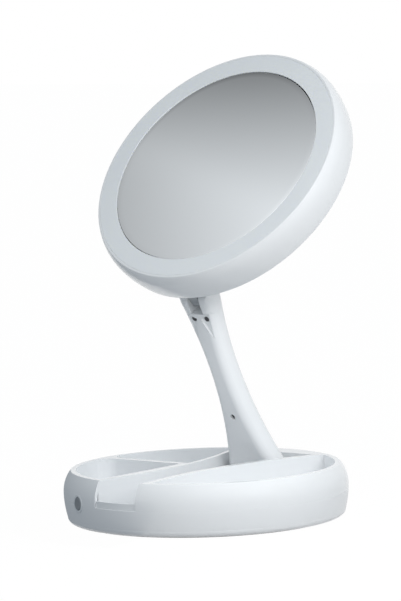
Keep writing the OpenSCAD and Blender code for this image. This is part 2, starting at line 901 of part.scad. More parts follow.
module arm_form(inset) {
    depth = arm_half_depth - inset;
    intersection() {
        union() {
            difference() {
                translate([0, 0, -arm_half_depth]) linear_extrude(arm_waist_t + arm_half_depth)
                    arm_profile(inset, arm_foot_flare);
                both_sides() translate([arm_waist_half_w + arm_lower_curve, 0, arm_waist_t])
                    flank_cutter(arm_lower_curve, inset);
            }
            difference() {
                translate([0, 0, arm_waist_t])
                    linear_extrude(arm_len + arm_half_depth - arm_waist_t)
                        arm_profile(inset, arm_fork_half_w);
                both_sides() translate([arm_waist_half_w + arm_upper_curve, 0, arm_waist_t])
                    flank_cutter(arm_upper_curve, inset);
            }
        }
        union() {
            along_x(-far / 2, far / 2, depth);
            translate([0, 0, arm_len]) along_x(-far / 2, far / 2, depth);
            translate([-far / 2, -depth, 0]) cube([far, 2 * depth, arm_len]);
        }
    }
}

arm_foot_flare = arm_waist_half_w + arm_lower_curve
    - sqrt(pow(arm_lower_curve, 2) - pow(arm_waist_t - foot_neck_t, 2)) + 2;

// The layer of the arm that the front cover fills, with gap trimmed off its ends
module cover_layer(gap) {
    translate([-far / 2, cover_face - cut, cover_bottom_t + gap])
        cube([far, cover_t + cut, arm_top_t - cover_bottom_t - 2 * gap]);
}

module arm_screw_places() {
    for (x = [-upper_screw_x, upper_screw_x]) translate([x, cover_face, upper_screw_t]) children();
    translate([0, cover_face, lower_screw_t]) children();
}

module arm_shell() {
    color(white) in_arm() difference() {
        union() {
            difference() {
                arm_form(0);
                cover_layer(0);
                // the hollow inside
                intersection() {
                    arm_form(arm_wall);
                    translate([-far / 2, -far / 2, hollow_bottom_t])
                        cube([far, far, neck_t - hollow_bottom_t]);
                }
            }
            translate([0, cover_back, lower_screw_t]) rotate([-90, 0, 0])
                cylinder(h = 2 * arm_half_depth - cover_t - 1, r = arm_post_r);
        }
        // the narrow foot between the brackets
        both_sides() translate([foot_half_w, -far / 2, -far]) cube([far, far, far + foot_neck_t]);
        // bores for the bushes, and the room that the lead turns in
        both_sides() along_x(foot_half_w - bush_len, foot_half_w + cut, bush_r + 0.01);
        along_x(-foot_half_w, foot_half_w, axle_r + fit_gap);
        translate([-foot_room_half_w, -3, -3]) cube([2 * foot_room_half_w, 6, foot_neck_t + 6]);
        // the fork's slot
        translate([-slot_half_w, -far / 2, arm_len - slot_depth]) cube([2 * slot_half_w, far, far]);
        // the duct through the neck, and the pivot's bores
        translate([0, 0, neck_t - cut]) cylinder(h = arm_len - neck_t, r = duct_r);
        translate([0, 0, arm_len]) {
            along_x(-far / 2, pin_reach + 0.2, pin_r + 0.01);
            along_x(-far / 2, -pin_left, cap_r + 0.02);
        }
        arm_screw_places() rotate([-90, 0, 0])
            cylinder(h = cover_t + arm_screw_bite, r = arm_screw_r + thread_gap);
        neck_recesses();
    }
}

// The tapering recess on each side of the neck
module neck_recesses() {
    both_sides() translate([0, cover_face + neck_recess, 0]) rotate([90, 0, 0]) linear_extrude(far / 4)
        polygon([
            [recess_inner_x, arm_len - recess_inner_below], [recess_outer_x, arm_len - recess_outer_below],
            [recess_tip_x, arm_len - recess_tip_below]
        ]);
}

module arm_cover() {
    color(white) in_arm() difference() {
        intersection() {
            arm_form(0);
            cover_layer(cover_gap);
        }
        neck_recesses();
        arm_screw_places() rotate([-90, 0, 0]) {
            translate([0, 0, -cut]) cylinder(h = cut + arm_screw_sink + arm_screw_head_t,
                r = arm_screw_head_r + 0.15);
            cylinder(h = far / 10, r = arm_screw_r + 0.15);
        }
        // the underside at the foot is chamfered so that it clears the hinge as the arm turns
        translate([-far / 2, cover_back, cover_bottom_t]) rotate([45, 0, 0])
            translate([0, -1, -1]) cube([far, 2, 2]);
    }
}

module arm_screws() {
    color(steel) in_arm() arm_screw_places() rotate([-90, 0, 0]) translate([0, 0, arm_screw_sink]) {
        difference() {
            cylinder(h = arm_screw_head_t, r = arm_screw_head_r);
            for (turn = [0, 90]) rotate([0, 0, turn]) translate([-1.1, -0.2, -cut])
                cube([2.2, 0.4, cut + 0.5]);
        }
        cylinder(h = cover_t + arm_screw_bite - 0.5 - arm_screw_sink, r = arm_screw_r - 0.001);
    }
}

module arm_lead() {
    color(lead_grey) in_arm() lead([
        [arm_lead_x, 0, 0], [arm_lead_x, 0, foot_neck_t + arm_lead_straight],
        [arm_lead_x, 0, neck_t - arm_lead_bend], [0, 0, neck_t + 1],
        [0, 0, arm_len - slot_depth - 1.2]
    ], arm_lead_r);
}

module hinge_bushes() {
    color("ivory") in_arm() both_sides() difference() {
        along_x(foot_half_w - bush_len, foot_half_w, bush_r);
        along_x(0, far, axle_r + run_gap);
    }
}

module head_pivot_pin() {
    color(steel) in_arm() translate([0, 0, arm_len]) along_x(-pin_left, pin_reach, pin_r);
}

module pivot_cap() {
    color(plastic) in_arm() translate([0, 0, arm_len])
        along_x(-pin_left - cap_t, -pin_left, cap_r);
}

module pivot_washers() {
    color(steel) in_arm() translate([0, 0, arm_len]) both_sides() difference() {
        along_x(slot_half_w - ear_washer_t, slot_half_w, ear_washer_r);
        along_x(0, far, pin_r + run_gap);
    }
}

// Head pieces. In the head's frame +Z is out of the mirror and the origin is the middle of the face.

module head_lug() {
    color(plastic) in_head() difference() {
        union() {
            translate([0, -pivot_below, -pivot_behind]) {
                along_x(-lug_half_w, lug_half_w, lug_r);
                translate([-lug_half_w, -lug_r + lug_neck_less, 0])
                    cube([2 * lug_half_w, 2 * (lug_r - lug_neck_less), pivot_back - lug_neck_bite]);
            }
            translate([-flange_half_x, lug_plate_bottom, -head_t - flange_depth])
                cube([2 * flange_half_x, lug_plate_top - lug_plate_bottom, flange_depth]);
        }
        translate([0, -pivot_below, -pivot_behind]) {
            along_x(-far, far, pin_r + run_gap);
            translate([0, 0, pin_r]) cylinder(h = far, r = lug_duct_r);
        }
        lug_screw_places() translate([0, 0, -flange_depth - cut])
            cylinder(h = far, r = lug_screw_r + thread_gap);
    }
}

module lug_screw_places() {
    for (x = [-lug_screw_x, lug_screw_x], y = [lug_screw_low, lug_screw_high])
        translate([x, y, -head_t]) children();
}

module lug_screws() {
    color(steel) in_head() lug_screw_places() {
        translate([0, 0, -flange_depth - lug_screw_head_t])
            cylinder(h = lug_screw_head_t, r = lug_screw_head_r);
        translate([0, 0, -flange_depth - lug_screw_head_t])
            cylinder(h = lug_screw_head_t + flange_depth + head_wall, r = lug_screw_r);
    }
}

module head_profile() {
    intersection() {
        union() {
            translate([0, -head_t]) square([head_r - head_front_curve - 1, head_t]);
            intersection() {
                translate([head_r - head_front_curve, -head_wide_t])
                    circle(head_front_curve, $fn = round_fn);
                translate([0, -head_wide_t]) square([far, far]);
            }
            intersection() {
                translate([head_r - head_back_curve, -head_wide_t])
                    circle(head_back_curve, $fn = round_fn);
                union() {
                    translate([0, -head_t + head_corner])
                        square([far, head_t - head_corner - head_wide_t]);
                    translate([0, -head_t]) square([head_corner_centre_r, head_corner]);
                }
            }
            intersection() {
                translate([head_corner_centre_r, -head_t + head_corner]) circle(head_corner);
                translate([0, -head_t]) square([far, head_corner]);
            }
        }
        translate([0, -head_t]) square([far, head_t]);
    }
}

head_back_r = head_r - head_back_curve
    + sqrt(pow(head_back_curve, 2) - pow(head_t - head_corner - head_wide_t, 2));
head_corner_centre_r = head_back_r - head_corner - corner_step;

module head_screw_places() {
    for (i = [0 : carrier_screws - 1]) rotate([0, 0, 360 * i / carrier_screws])
        translate([carrier_screw_r, 0, 0]) children();
}

module head_shell() {
    color(white) in_head() difference() {
        union() {
            rotate_extrude($fn = round_fn) difference() {
                head_profile();
                translate([0, -led_board_back]) square([ring_outer + fit_gap / 2, far]);
                translate([0, -back_inside]) square([inside_r, far]);
            }
            // the rib that the lamp board rests on
            translate([0, 0, -back_inside]) difference() {
                cylinder(h = back_inside - led_board_back, r = rib_r + rib_t, $fn = round_fn);
                translate([0, 0, -cut]) cylinder(h = far, r = rib_r, $fn = round_fn);
                translate([-rib_notch_w / 2, -far, -cut]) cube([rib_notch_w, far, rib_notch_h + cut]);
            }
        }
        lug_screw_places() cylinder(h = head_wall + lug_hole_over, r = lug_screw_r + thread_gap);
        translate([0, -pivot_below, -head_t - cut]) cylinder(h = head_wall + 2 * cut, r = lug_duct_r);
        head_screw_places() {
            translate([0, 0, -head_t - cut])
                cylinder(h = cut + head_screw_sink + head_screw_head_t, r = head_screw_head_r + fit_gap);
            translate([0, 0, -head_t - cut]) cylinder(h = far / 10, r = head_screw_r + fit_gap);
        }
    }
}

module light_ring() {
    color("aliceblue") in_head() rotate_extrude($fn = round_fn) {
        translate([ring_inner, -diffuser_t]) square([ring_outer - ring_inner, diffuser_t]);
        translate([ring_inner, -led_depth]) square([ring_skirt, led_depth]);
        translate([ring_outer - ring_skirt, -led_depth]) square([ring_skirt, led_depth]);
    }
}

module mirror_glass() {
    color("lightsteelblue") in_head() translate([0, 0, -mirror_back])
        cylinder(h = mirror_t, r = mirror_r, $fn = round_fn);
}

module adhesive_pad() {
    color("black") in_head() translate([0, 0, -carrier_face])
        cylinder(h = pad_t, r = mirror_r - 2, $fn = round_fn);
}

module mirror_carrier() {
    color(plastic) in_head() difference() {
        union() {
            translate([0, 0, -carrier_back]) cylinder(h = carrier_t, r = mirror_r, $fn = round_fn);
            translate([0, 0, -back_inside]) head_screw_places()
                cylinder(h = back_inside - carrier_back + carrier_t / 2, r = carrier_post_r);
            translate([0, 0, -carrier_back - carrier_rim]) difference() {
                cylinder(h = carrier_rim + carrier_t / 2, r = mirror_r, $fn = round_fn);
                translate([0, 0, -cut]) cylinder(h = far, r = mirror_r - carrier_rim, $fn = round_fn);
            }
        }
        head_screw_places() translate([0, 0, -back_inside - cut])
            cylinder(h = head_screw_bite + cut, r = head_screw_r + thread_gap);
    }
}

module led_board() {
    color("white") in_head() translate([0, 0, -led_board_back]) difference() {
        cylinder(h = led_board_t, r = led_board_outer, $fn = round_fn);
        translate([0, 0, -cut]) cylinder(h = far, r = led_board_inner, $fn = round_fn);
    }
}

module led_chips() {
    color("lightyellow") in_head() for (i = [0 : led_count - 1])
        rotate([0, 0, 360 * i / led_count]) translate([led_mid_r - led_h / 2, -led_w / 2, -led_depth])
            cube([led_h, led_w, led_t]);
}

module head_screws() {
    color(steel) in_head() head_screw_places() {
        translate([0, 0, -head_t + head_screw_sink])
            cylinder(h = head_screw_head_t, r = head_screw_head_r);
        translate([0, 0, -head_t + head_screw_sink])
            cylinder(h = head_wall - head_screw_sink + head_screw_bite - 0.5, r = head_screw_r);
    }
}

module head_lead() {
    color(lead_grey) in_head() lead([
        [0, -pivot_below, -pivot_behind + pin_r + 2], [0, -pivot_below, -back_inside + 3],
        [0, -led_mid_r, -back_inside + 3], [0, -led_mid_r, -led_board_back - arm_lead_r]
    ], arm_lead_r);
}

base_top();
base_bottom();
foot_ring();
battery_cells();
battery_springs();
battery_contacts();
control_board();
switch_module();
button_bezel();
power_inlet();
inlet_board();
base_lead();
base_screws();
hinge_bracket_left();
hinge_bracket_right();
bracket_screws();
hinge_axle_left();
hinge_sleeve_right();
friction_washers();
power_button();
battery_door_left();
battery_door_right();
arm_shell();
arm_cover();
arm_screws();
arm_lead();
hinge_bushes();
head_pivot_pin();
pivot_cap();
pivot_washers();
head_lug();
lug_screws();
head_shell();
light_ring();
mirror_glass();
adhesive_pad();
mirror_carrier();
led_board();
led_chips();
head_screws();
head_lead();
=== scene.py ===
"""Studio scene of a lighted folding makeup mirror, dressed round its CAD frame.

The mirror stands open on a round tray base. A waisted arm folds up out of the
base and carries a round head, with a frosted light ring round the mirror glass.
Shared sizes are written in millimetres, as on the drawing, and meshes are made
in metres in the frame of the CAD model.
"""

import logging
import math
from dataclasses import dataclass
from enum import Enum
from typing import Iterable, Sequence

import bmesh
import bpy
from mathutils import Matrix, Vector


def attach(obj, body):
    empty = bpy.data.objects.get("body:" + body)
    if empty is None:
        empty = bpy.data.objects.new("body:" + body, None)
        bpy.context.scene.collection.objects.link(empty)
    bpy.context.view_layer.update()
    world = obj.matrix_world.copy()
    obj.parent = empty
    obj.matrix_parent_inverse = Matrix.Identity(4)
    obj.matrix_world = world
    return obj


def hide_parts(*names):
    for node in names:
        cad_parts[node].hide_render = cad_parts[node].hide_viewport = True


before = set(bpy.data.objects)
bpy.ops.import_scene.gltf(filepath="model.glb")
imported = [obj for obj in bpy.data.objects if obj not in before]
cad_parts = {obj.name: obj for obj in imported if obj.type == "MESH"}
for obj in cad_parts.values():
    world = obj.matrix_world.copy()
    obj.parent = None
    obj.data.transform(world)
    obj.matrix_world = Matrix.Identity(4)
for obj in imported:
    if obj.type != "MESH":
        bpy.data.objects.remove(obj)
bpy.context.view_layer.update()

LOG = logging.getLogger("makeup_mirror")
MM = 0.001
WELD = 1e-5
RING_TOLERANCE = 2e-5

Point2 = tuple[float, float]
Colour = tuple[float, float, float]


class Body(Enum):
    """The moving bodies of the mirror."""

    BASE = "base"
    ARM = "arm"
    HEAD = "head"
    BUTTON = "button"
    LEFT_DOOR = "door_left"
    RIGHT_DOOR = "door_right"


@dataclass(frozen=True)
class Layout:
    """Sizes that the sub-assemblies share, in millimetres and degrees."""

    base_r: float = 90.0
    base_h: float = 33.4
    hinge_y: float = 56.3
    hinge_z: float = 20.3
    arm_len: float = 132.0
    arm_lean: float = 25.0
    head_tilt: float = 39.6
    head_t: float = 24.3
    closed_gap: float = 0.6
    button_angle: float = 23.0
    button_z: float = 17.5

    @property
    def pivot_below(self) -> float:
        """Distance of the head's pivot below the middle of the face."""
        return self.arm_len - self.hinge_y

    @property
    def pivot_behind(self) -> float:
        """Distance of the head's pivot behind the face."""
        return self.base_h + self.closed_gap - self.hinge_z + self.head_t

    def arm_frame(self) -> Matrix:
        """The arm's frame: Z runs from the base hinge to the pivot, -Y is its front."""
        place = Matrix.Translation((0, self.hinge_y * MM, self.hinge_z * MM))
        return place @ Matrix.Rotation(math.radians(self.arm_lean), 4, "X")

    def head_frame(self) -> Matrix:
        """The head's frame: the origin is the middle of the face, +Z looks out."""
        to_pivot = Matrix.Translation((0, 0, self.arm_len * MM))
        turn = Matrix.Rotation(math.radians(90 - self.head_tilt - self.arm_lean), 4, "X")
        to_face = Matrix.Translation((0, self.pivot_below * MM, self.pivot_behind * MM))
        return self.arm_frame() @ to_pivot @ turn @ to_face

    def button_frame(self) -> Matrix:
        """The button's frame: Z runs out through the wall from the base's axis."""
        turn = Matrix.Rotation(math.radians(-90 - self.button_angle), 4, "Z")
        lift = Matrix.Translation((0, 0, self.button_z * MM))
        return turn @ lift @ Matrix.Rotation(math.radians(90), 4, "Y")


LAYOUT = Layout()


class Recipe:
    """The node tree of one material, built up step by step."""

    def __init__(self, name: str) -> None:
        """Starts a material with one principled shader.

        Args:
            name: The material's name.
        """
        self.material = bpy.data.materials.new(name)
        self.material.use_nodes = True
        self.tree = self.material.node_tree
        self.tree.nodes.clear()
        self.output = self.tree.nodes.new("ShaderNodeOutputMaterial")
        self.shader = self.tree.nodes.new("ShaderNodeBsdfPrincipled")
        self.tree.links.new(self.shader.outputs["BSDF"], self.output.inputs["Surface"])

    def set(self, **sockets: float | tuple[float, ...]) -> None:
        """Sets the shader's own sockets, with _ written for each space in a name."""
        for name, value in sockets.items():
            self.shader.inputs[name.replace("_", " ")].default_value = value

    def link(self, source: bpy.types.NodeSocket, socket: str) -> None:
        """Joins a source to one of the shader's sockets."""
        self.tree.links.new(source, self.shader.inputs[socket])

    def place(self, scale: Sequence[float] = (1, 1, 1)) -> bpy.types.NodeSocket:
        """Gives Object coordinates, scaled along each axis."""
        coordinate = self.tree.nodes.new("ShaderNodeTexCoord")
        mapping = self.tree.nodes.new("ShaderNodeMapping")
        mapping.inputs["Scale"].default_value = scale
        self.tree.links.new(coordinate.outputs["Object"], mapping.inputs["Vector"])
        return mapping.outputs["Vector"]

    def noise(
        self, scale: float, detail: float = 2.0, vector: bpy.types.NodeSocket | None = None
    ) -> bpy.types.NodeSocket:
        """Gives a noise between 0 and 1.

        Args:
            scale: Cells to the metre.
            detail: Octaves of finer noise.
            vector: Coordinates, or None for plain Object coordinates.

        Returns:
            The socket with the noise.
        """
        node = self.tree.nodes.new("ShaderNodeTexNoise")
        node.inputs["Scale"].default_value = scale
        node.inputs["Detail"].default_value = detail
        self.tree.links.new(vector or self.place(), node.inputs["Vector"])
        return node.outputs["Fac"]

    def colour(self, source: bpy.types.NodeSocket, *stops: tuple[float, Colour]) -> None:
        """Colours the surface by a value.

        Args:
            source: The value, from 0 to 1.
            stops: Place and colour of each stop.
        """
        node = self.tree.nodes.new("ShaderNodeValToRGB")
        elements = node.color_ramp.elements
        while len(elements) < len(stops):
            elements.new(0.5)
        for element, (place, colour) in zip(elements, stops):
            element.position = place
            element.color = (*colour, 1.0)
        self.tree.links.new(source, node.inputs["Fac"])
        self.link(node.outputs["Color"], "Base Color")

    def gloss(self, source: bpy.types.NodeSocket, low: float, high: float) -> None:
        """Maps a value from 0 to 1 onto a roughness of low to high."""
        node = self.tree.nodes.new("ShaderNodeMapRange")
        node.inputs["To Min"].default_value = low
        node.inputs["To Max"].default_value = high
        self.tree.links.new(source, node.inputs["Value"])
        self.link(node.outputs["Result"], "Roughness")

    def relief(self, height: bpy.types.NodeSocket, strength: float, depth: float) -> None:
        """Gives the surface a fine relief.

        Args:
            height: The height, from 0 to 1.
            strength: Share of the relief that shows.
            depth: Depth of the relief in metres.
        """
        node = self.tree.nodes.new("ShaderNodeBump")
        node.inputs["Strength"].default_value = strength
        node.inputs["Distance"].default_value = depth
        self.tree.links.new(height, node.inputs["Height"])
        self.link(node.outputs["Normal"], "Normal")


@dataclass(frozen=True)
class MouldedPlastic:
    """Injection moulded plastic: a faint flow mottling and a satin or glossy skin."""

    name: str
    tone: Colour
    flow_tone: Colour
    gloss: tuple[float, float] = (0.2, 0.28)
    texture: float = 0.06
    coat: float = 0.0

    def material(self) -> bpy.types.Material:
        """Builds the material."""
        recipe = Recipe(self.name)
        flow = recipe.noise(14, 3)
        recipe.colour(flow, (0.3, self.tone), (0.7, self.flow_tone))
        recipe.gloss(recipe.noise(90, 2), *self.gloss)
        recipe.relief(recipe.noise(900, 2), self.texture, 0.00006)
        recipe.set(IOR=1.49, Coat_Weight=self.coat, Coat_Roughness=0.12)
        return recipe.material


@dataclass(frozen=True)
class FrostedAcrylic:
    """Opal acrylic with a bead blasted face, as round a lamp."""

    name: str
    tone: Colour
    cloud_tone: Colour

    def material(self) -> bpy.types.Material:
        """Builds the material."""
        recipe = Recipe(self.name)
        cloud = recipe.noise(24, 3)
        recipe.colour(cloud, (0.3, self.tone), (0.7, self.cloud_tone))
        recipe.gloss(recipe.noise(420, 3), 0.34, 0.46)
        recipe.relief(recipe.noise(2600, 2), 0.1, 0.00004)
        recipe.set(IOR=1.49, Subsurface_Weight=0.15, Subsurface_Radius=(0.004, 0.004, 0.005))
        return recipe.material


@dataclass(frozen=True)
class SilveredGlass:
    """Mirror glass: a silver layer that is seen through clear glass."""

    name: str
    silver: Colour
    edge: Colour

    def material(self) -> bpy.types.Material:
        """Builds the material."""
        recipe = Recipe(self.name)
        haze = recipe.noise(9, 2)
        recipe.colour(haze, (0.25, self.silver), (0.8, self.edge))
        recipe.gloss(recipe.noise(35, 2), 0.012, 0.03)
        recipe.set(Metallic=1.0, Coat_Weight=0.4, Coat_Roughness=0.01)
        return recipe.material


@dataclass(frozen=True)
class MouldedRubber:
    """Matt rubber with a fine pebbled skin."""

    name: str
    tone: Colour
    dust_tone: Colour
    dull: tuple[float, float] = (0.7, 0.88)

    def material(self) -> bpy.types.Material:
        """Builds the material."""
        recipe = Recipe(self.name)
        dust = recipe.noise(160, 4)
        recipe.colour(dust, (0.4, self.tone), (0.75, self.dust_tone))
        recipe.gloss(dust, *self.dull)
        recipe.relief(recipe.noise(1500, 2), 0.25, 0.00008)
        return recipe.material


@dataclass(frozen=True)
class WorkedSteel:
    """Steel with the fine lines of drawing or turning."""

    name: str
    tone: Colour
    line_tone: Colour
    gloss: tuple[float, float] = (0.28, 0.42)
    lines: tuple[float, float, float] = (260, 2200, 2200)

    def material(self) -> bpy.types.Material:
        """Builds the material."""
        recipe = Recipe(self.name)
        lines = recipe.noise(1, 3, recipe.place(self.lines))
        recipe.colour(lines, (0.3, self.tone), (0.7, self.line_tone))
        recipe.gloss(lines, *self.gloss)
        recipe.relief(lines, 0.12, 0.00002)
        recipe.set(Metallic=1.0)
        return recipe.material


@dataclass(frozen=True)
class SolderMask:
    """A circuit board's lacquer with copper tracks that show through it."""

    name: str
    lacquer: Colour
    track: Colour
    pitch: float = 420

    def material(self) -> bpy.types.Material:
        """Builds the material."""
        recipe = Recipe(self.name)
        tracks = recipe.tree.nodes.new("ShaderNodeTexBrick")
        tracks.inputs["Scale"].default_value = self.pitch
        tracks.inputs["Mortar Size"].default_value = 0.12
        tracks.inputs["Color1"].default_value = (*self.lacquer, 1)
        tracks.inputs["Color2"].default_value = (*self.lacquer, 1)
        tracks.inputs["Mortar"].default_value = (*self.track, 1)
        recipe.tree.links.new(recipe.place(), tracks.inputs["Vector"])
        recipe.link(tracks.outputs["Color"], "Base Color")
        recipe.gloss(recipe.noise(300, 2), 0.28, 0.4)
        recipe.relief(tracks.outputs["Fac"], 0.3, 0.00003)
        return recipe.material


@dataclass(frozen=True)
class CellWrap:
    """A plain battery cell's shrink wrap, with a coloured end and a dark body."""

    name: str
    body: Colour
    end: Colour
    split: float

    def material(self) -> bpy.types.Material:
        """Builds the material."""
        recipe = Recipe(self.name)
        axes = recipe.tree.nodes.new("ShaderNodeSeparateXYZ")
        recipe.tree.links.new(recipe.place(), axes.inputs["Vector"])
        along = recipe.tree.nodes.new("ShaderNodeMapRange")
        along.inputs["From Min"].default_value = self.split - 0.0004
        along.inputs["From Max"].default_value = self.split + 0.0004
        recipe.tree.links.new(axes.outputs["Y"], along.inputs["Value"])
        recipe.colour(along.outputs["Result"], (0, self.body), (1, self.end))
        recipe.gloss(recipe.noise(200, 2), 0.28, 0.38)
        recipe.relief(recipe.noise(240, 3), 0.2, 0.00005)
        recipe.set(Metallic=0.35)
        return recipe.material


@dataclass(frozen=True)
class LampPhosphor:
    """The soft yellow gel over a small lamp."""

    name: str
    gel: Colour
    rim: Colour

    def material(self) -> bpy.types.Material:
        """Builds the material."""
        recipe = Recipe(self.name)
        gel = recipe.noise(700, 3)
        recipe.colour(gel, (0.3, self.gel), (0.8, self.rim))
        recipe.gloss(gel, 0.3, 0.5)
        recipe.relief(gel, 0.15, 0.00004)
        return recipe.material


@dataclass(frozen=True)
class CellFoam:
    """Closed cell foam tape."""

    name: str
    tone: Colour
    cell_tone: Colour

    def material(self) -> bpy.types.Material:
        """Builds the material."""
        recipe = Recipe(self.name)
        cells = recipe.tree.nodes.new("ShaderNodeTexVoronoi")
        cells.inputs["Scale"].default_value = 1400
        recipe.tree.links.new(recipe.place(), cells.inputs["Vector"])
        distance = cells.outputs["Distance"]
        recipe.colour(distance, (0.1, self.cell_tone), (0.6, self.tone))
        recipe.gloss(distance, 0.95, 0.8)
        recipe.relief(distance, 0.5, 0.00015)
        return recipe.material


class Finishes:
    """Every finish on the mirror, each built once."""

    kinds = {
        "white": MouldedPlastic(
            "white_gloss_plastic", (0.865, 0.88, 0.895), (0.88, 0.893, 0.906), (0.18, 0.24), 0.04, 0.15
        ),
        "lower_white": MouldedPlastic(
            "white_satin_plastic", (0.845, 0.86, 0.875), (0.86, 0.873, 0.886), (0.285, 0.34), 0.05, 0.1
        ),
        "grey_plastic": MouldedPlastic(
            "grey_plastic", (0.34, 0.36, 0.38), (0.38, 0.40, 0.42), (0.3, 0.4), 0.08
        ),
        "black_plastic": MouldedPlastic(
            "black_plastic", (0.02, 0.02, 0.022), (0.03, 0.03, 0.032), (0.35, 0.5), 0.1
        ),
        "button_grey": MouldedPlastic(
            "button_grey", (0.255, 0.275, 0.295), (0.295, 0.315, 0.335), (0.34, 0.46), 0.1
        ),
        "bezel_white": MouldedPlastic(
            "bezel_white", (0.74, 0.77, 0.79), (0.78, 0.80, 0.82), (0.2, 0.26), 0.05
        ),
        "ivory": MouldedPlastic("ivory_nylon", (0.74, 0.71, 0.62), (0.78, 0.75, 0.66), (0.4, 0.52), 0.08),
        "frosted": FrostedAcrylic("frosted_acrylic", (0.84, 0.865, 0.885), (0.86, 0.885, 0.90)),
        "mirror": SilveredGlass("silvered_glass", (0.90, 0.91, 0.92), (0.93, 0.94, 0.945)),
        "rubber": MouldedRubber("foot_rubber", (0.045, 0.045, 0.047), (0.09, 0.09, 0.09)),
        "jacket": MouldedRubber("lead_jacket", (0.16, 0.16, 0.17), (0.22, 0.22, 0.23), (0.45, 0.6)),
        "steel": WorkedSteel("drawn_steel", (0.50, 0.50, 0.49), (0.60, 0.60, 0.59)),
        "zinc": WorkedSteel("zinc_plated_steel", (0.56, 0.57, 0.58), (0.68, 0.69, 0.70), (0.3, 0.45)),
        "dark_steel": WorkedSteel("blackened_steel", (0.10, 0.10, 0.105), (0.16, 0.16, 0.165), (0.3, 0.45)),
        "board": SolderMask("green_board", (0.01, 0.13, 0.05), (0.03, 0.22, 0.09)),
        "lamp_board": SolderMask("white_board", (0.72, 0.73, 0.72), (0.62, 0.63, 0.62), 300),
        "cell": CellWrap("cell_wrap", (0.05, 0.055, 0.06), (0.55, 0.40, 0.12), 0.012),
        "phosphor": LampPhosphor("lamp_phosphor", (0.85, 0.72, 0.20), (0.90, 0.84, 0.45)),
        "foam": CellFoam("foam_tape", (0.05, 0.05, 0.05), (0.02, 0.02, 0.02)),
    }

    def __init__(self) -> None:
        """Builds the materials."""
        for name, kind in self.kinds.items():
            setattr(self, name, kind.material())


@dataclass(frozen=True)
class Rounding:
    """A circular edge of a turned piece that is rounded, in millimetres."""

    radius: float
    height: float
    width: float
    segments: int = 3


def arc(centre: Point2, radius: float, start: float, end: float, steps: int) -> list[Point2]:
    """Gives the points of an arc in a profile.

    Args:
        centre: Its centre.
        radius: Its radius.
        start: Start angle in degrees.
        end: End angle in degrees.
        steps: Number of stretches.

    Returns:
        The points, with both ends.
    """
    angles = [math.radians(start + (end - start) * i / steps) for i in range(steps + 1)]
    return [(centre[0] + radius * math.cos(a), centre[1] + radius * math.sin(a)) for a in angles]


def spin(
    bm: bmesh.types.BMesh,
    points: Sequence[Sequence[float]],
    angle: float,
    steps: int,
    closed: bool = False,
) -> None:
    """Spins a chain of points about Z, and welds the seam of a full turn.

    Args:
        bm: The mesh that takes the faces.
        points: The points in metres.
        angle: Angle in radians.
        steps: Number of sides.
        closed: Whether the last point joins the first.
    """
    verts = [bm.verts.new(point) for point in points]
    ends = verts[1:] + (verts[:1] if closed else [])
    edges = [bm.edges.new(pair) for pair in zip(verts, ends)]
    bmesh.ops.spin(
        bm,
        geom=verts + edges,
        cent=(0, 0, 0),
        axis=(0, 0, 1),
        dvec=(0, 0, 0),
        angle=angle,
        steps=steps,
        use_merge=angle == math.tau,
        use_normal_flip=False,
        use_duplicate=False,
    )


@dataclass(frozen=True)
class TurnedSkin:
    """The base's wall as drawn, three arcs turned about Z, in millimetres."""

    wide_r: float = 90.0
    wide_z: float = 20.0
    upper_curve: float = 21.0
    lower_curve: float = 60.0
    corner_z: float = 4.6
    corner_centre: float = 83.94
    corner_curve: float = 4.0
    wall: float = 2.4
    tolerance: float = 0.05
    reach: float = math.cos(math.radians(9))

    def outward(self, point: Vector) -> Vector | None:
        """Gives the wall's true outward direction at a point on either of its faces.

        Args:
            point: The point, in metres.

        Returns:
            The direction, or None where the point isn't on the wall.
        """
        radius = math.hypot(point.x, point.y) / MM
        height = point.z / MM
        if height < self.corner_z:
            centre, curve = (self.corner_centre, self.corner_z), self.corner_curve
        else:
            curve = self.upper_curve if height > self.wide_z else self.lower_curve
            centre = (self.wide_r - curve, self.wide_z)
        along, rise = radius - centre[0], height - centre[1]
        depth = curve - math.hypot(along, rise)
        if radius < centre[0] or min(abs(depth), abs(depth - self.wall)) > self.tolerance:
            return None
        slope = math.atan2(rise, along)
        if height < self.corner_z:
            slope = min(slope, -math.asin((self.wide_z - self.corner_z) / self.lower_curve))
        flat = Vector((point.x, point.y, 0)).normalized()
        return flat * math.cos(slope) + Vector((0, 0, math.sin(slope)))

    def smooth_over(self, mesh: bpy.types.Mesh) -> None:
        """Gives the wall's corners their true directions and keeps the others as they are."""
        normals = [corner.vector.copy() for corner in mesh.corner_normals]
        for face in mesh.polygons:
            for corner in face.loop_indices:
                true = self.outward(mesh.vertices[mesh.loops[corner].vertex_index].co)
                if true is not None and abs(true.dot(face.normal)) > self.reach:
                    normals[corner] = true if true.dot(face.normal) > 0 else -true
        mesh.normals_split_custom_set(normals)


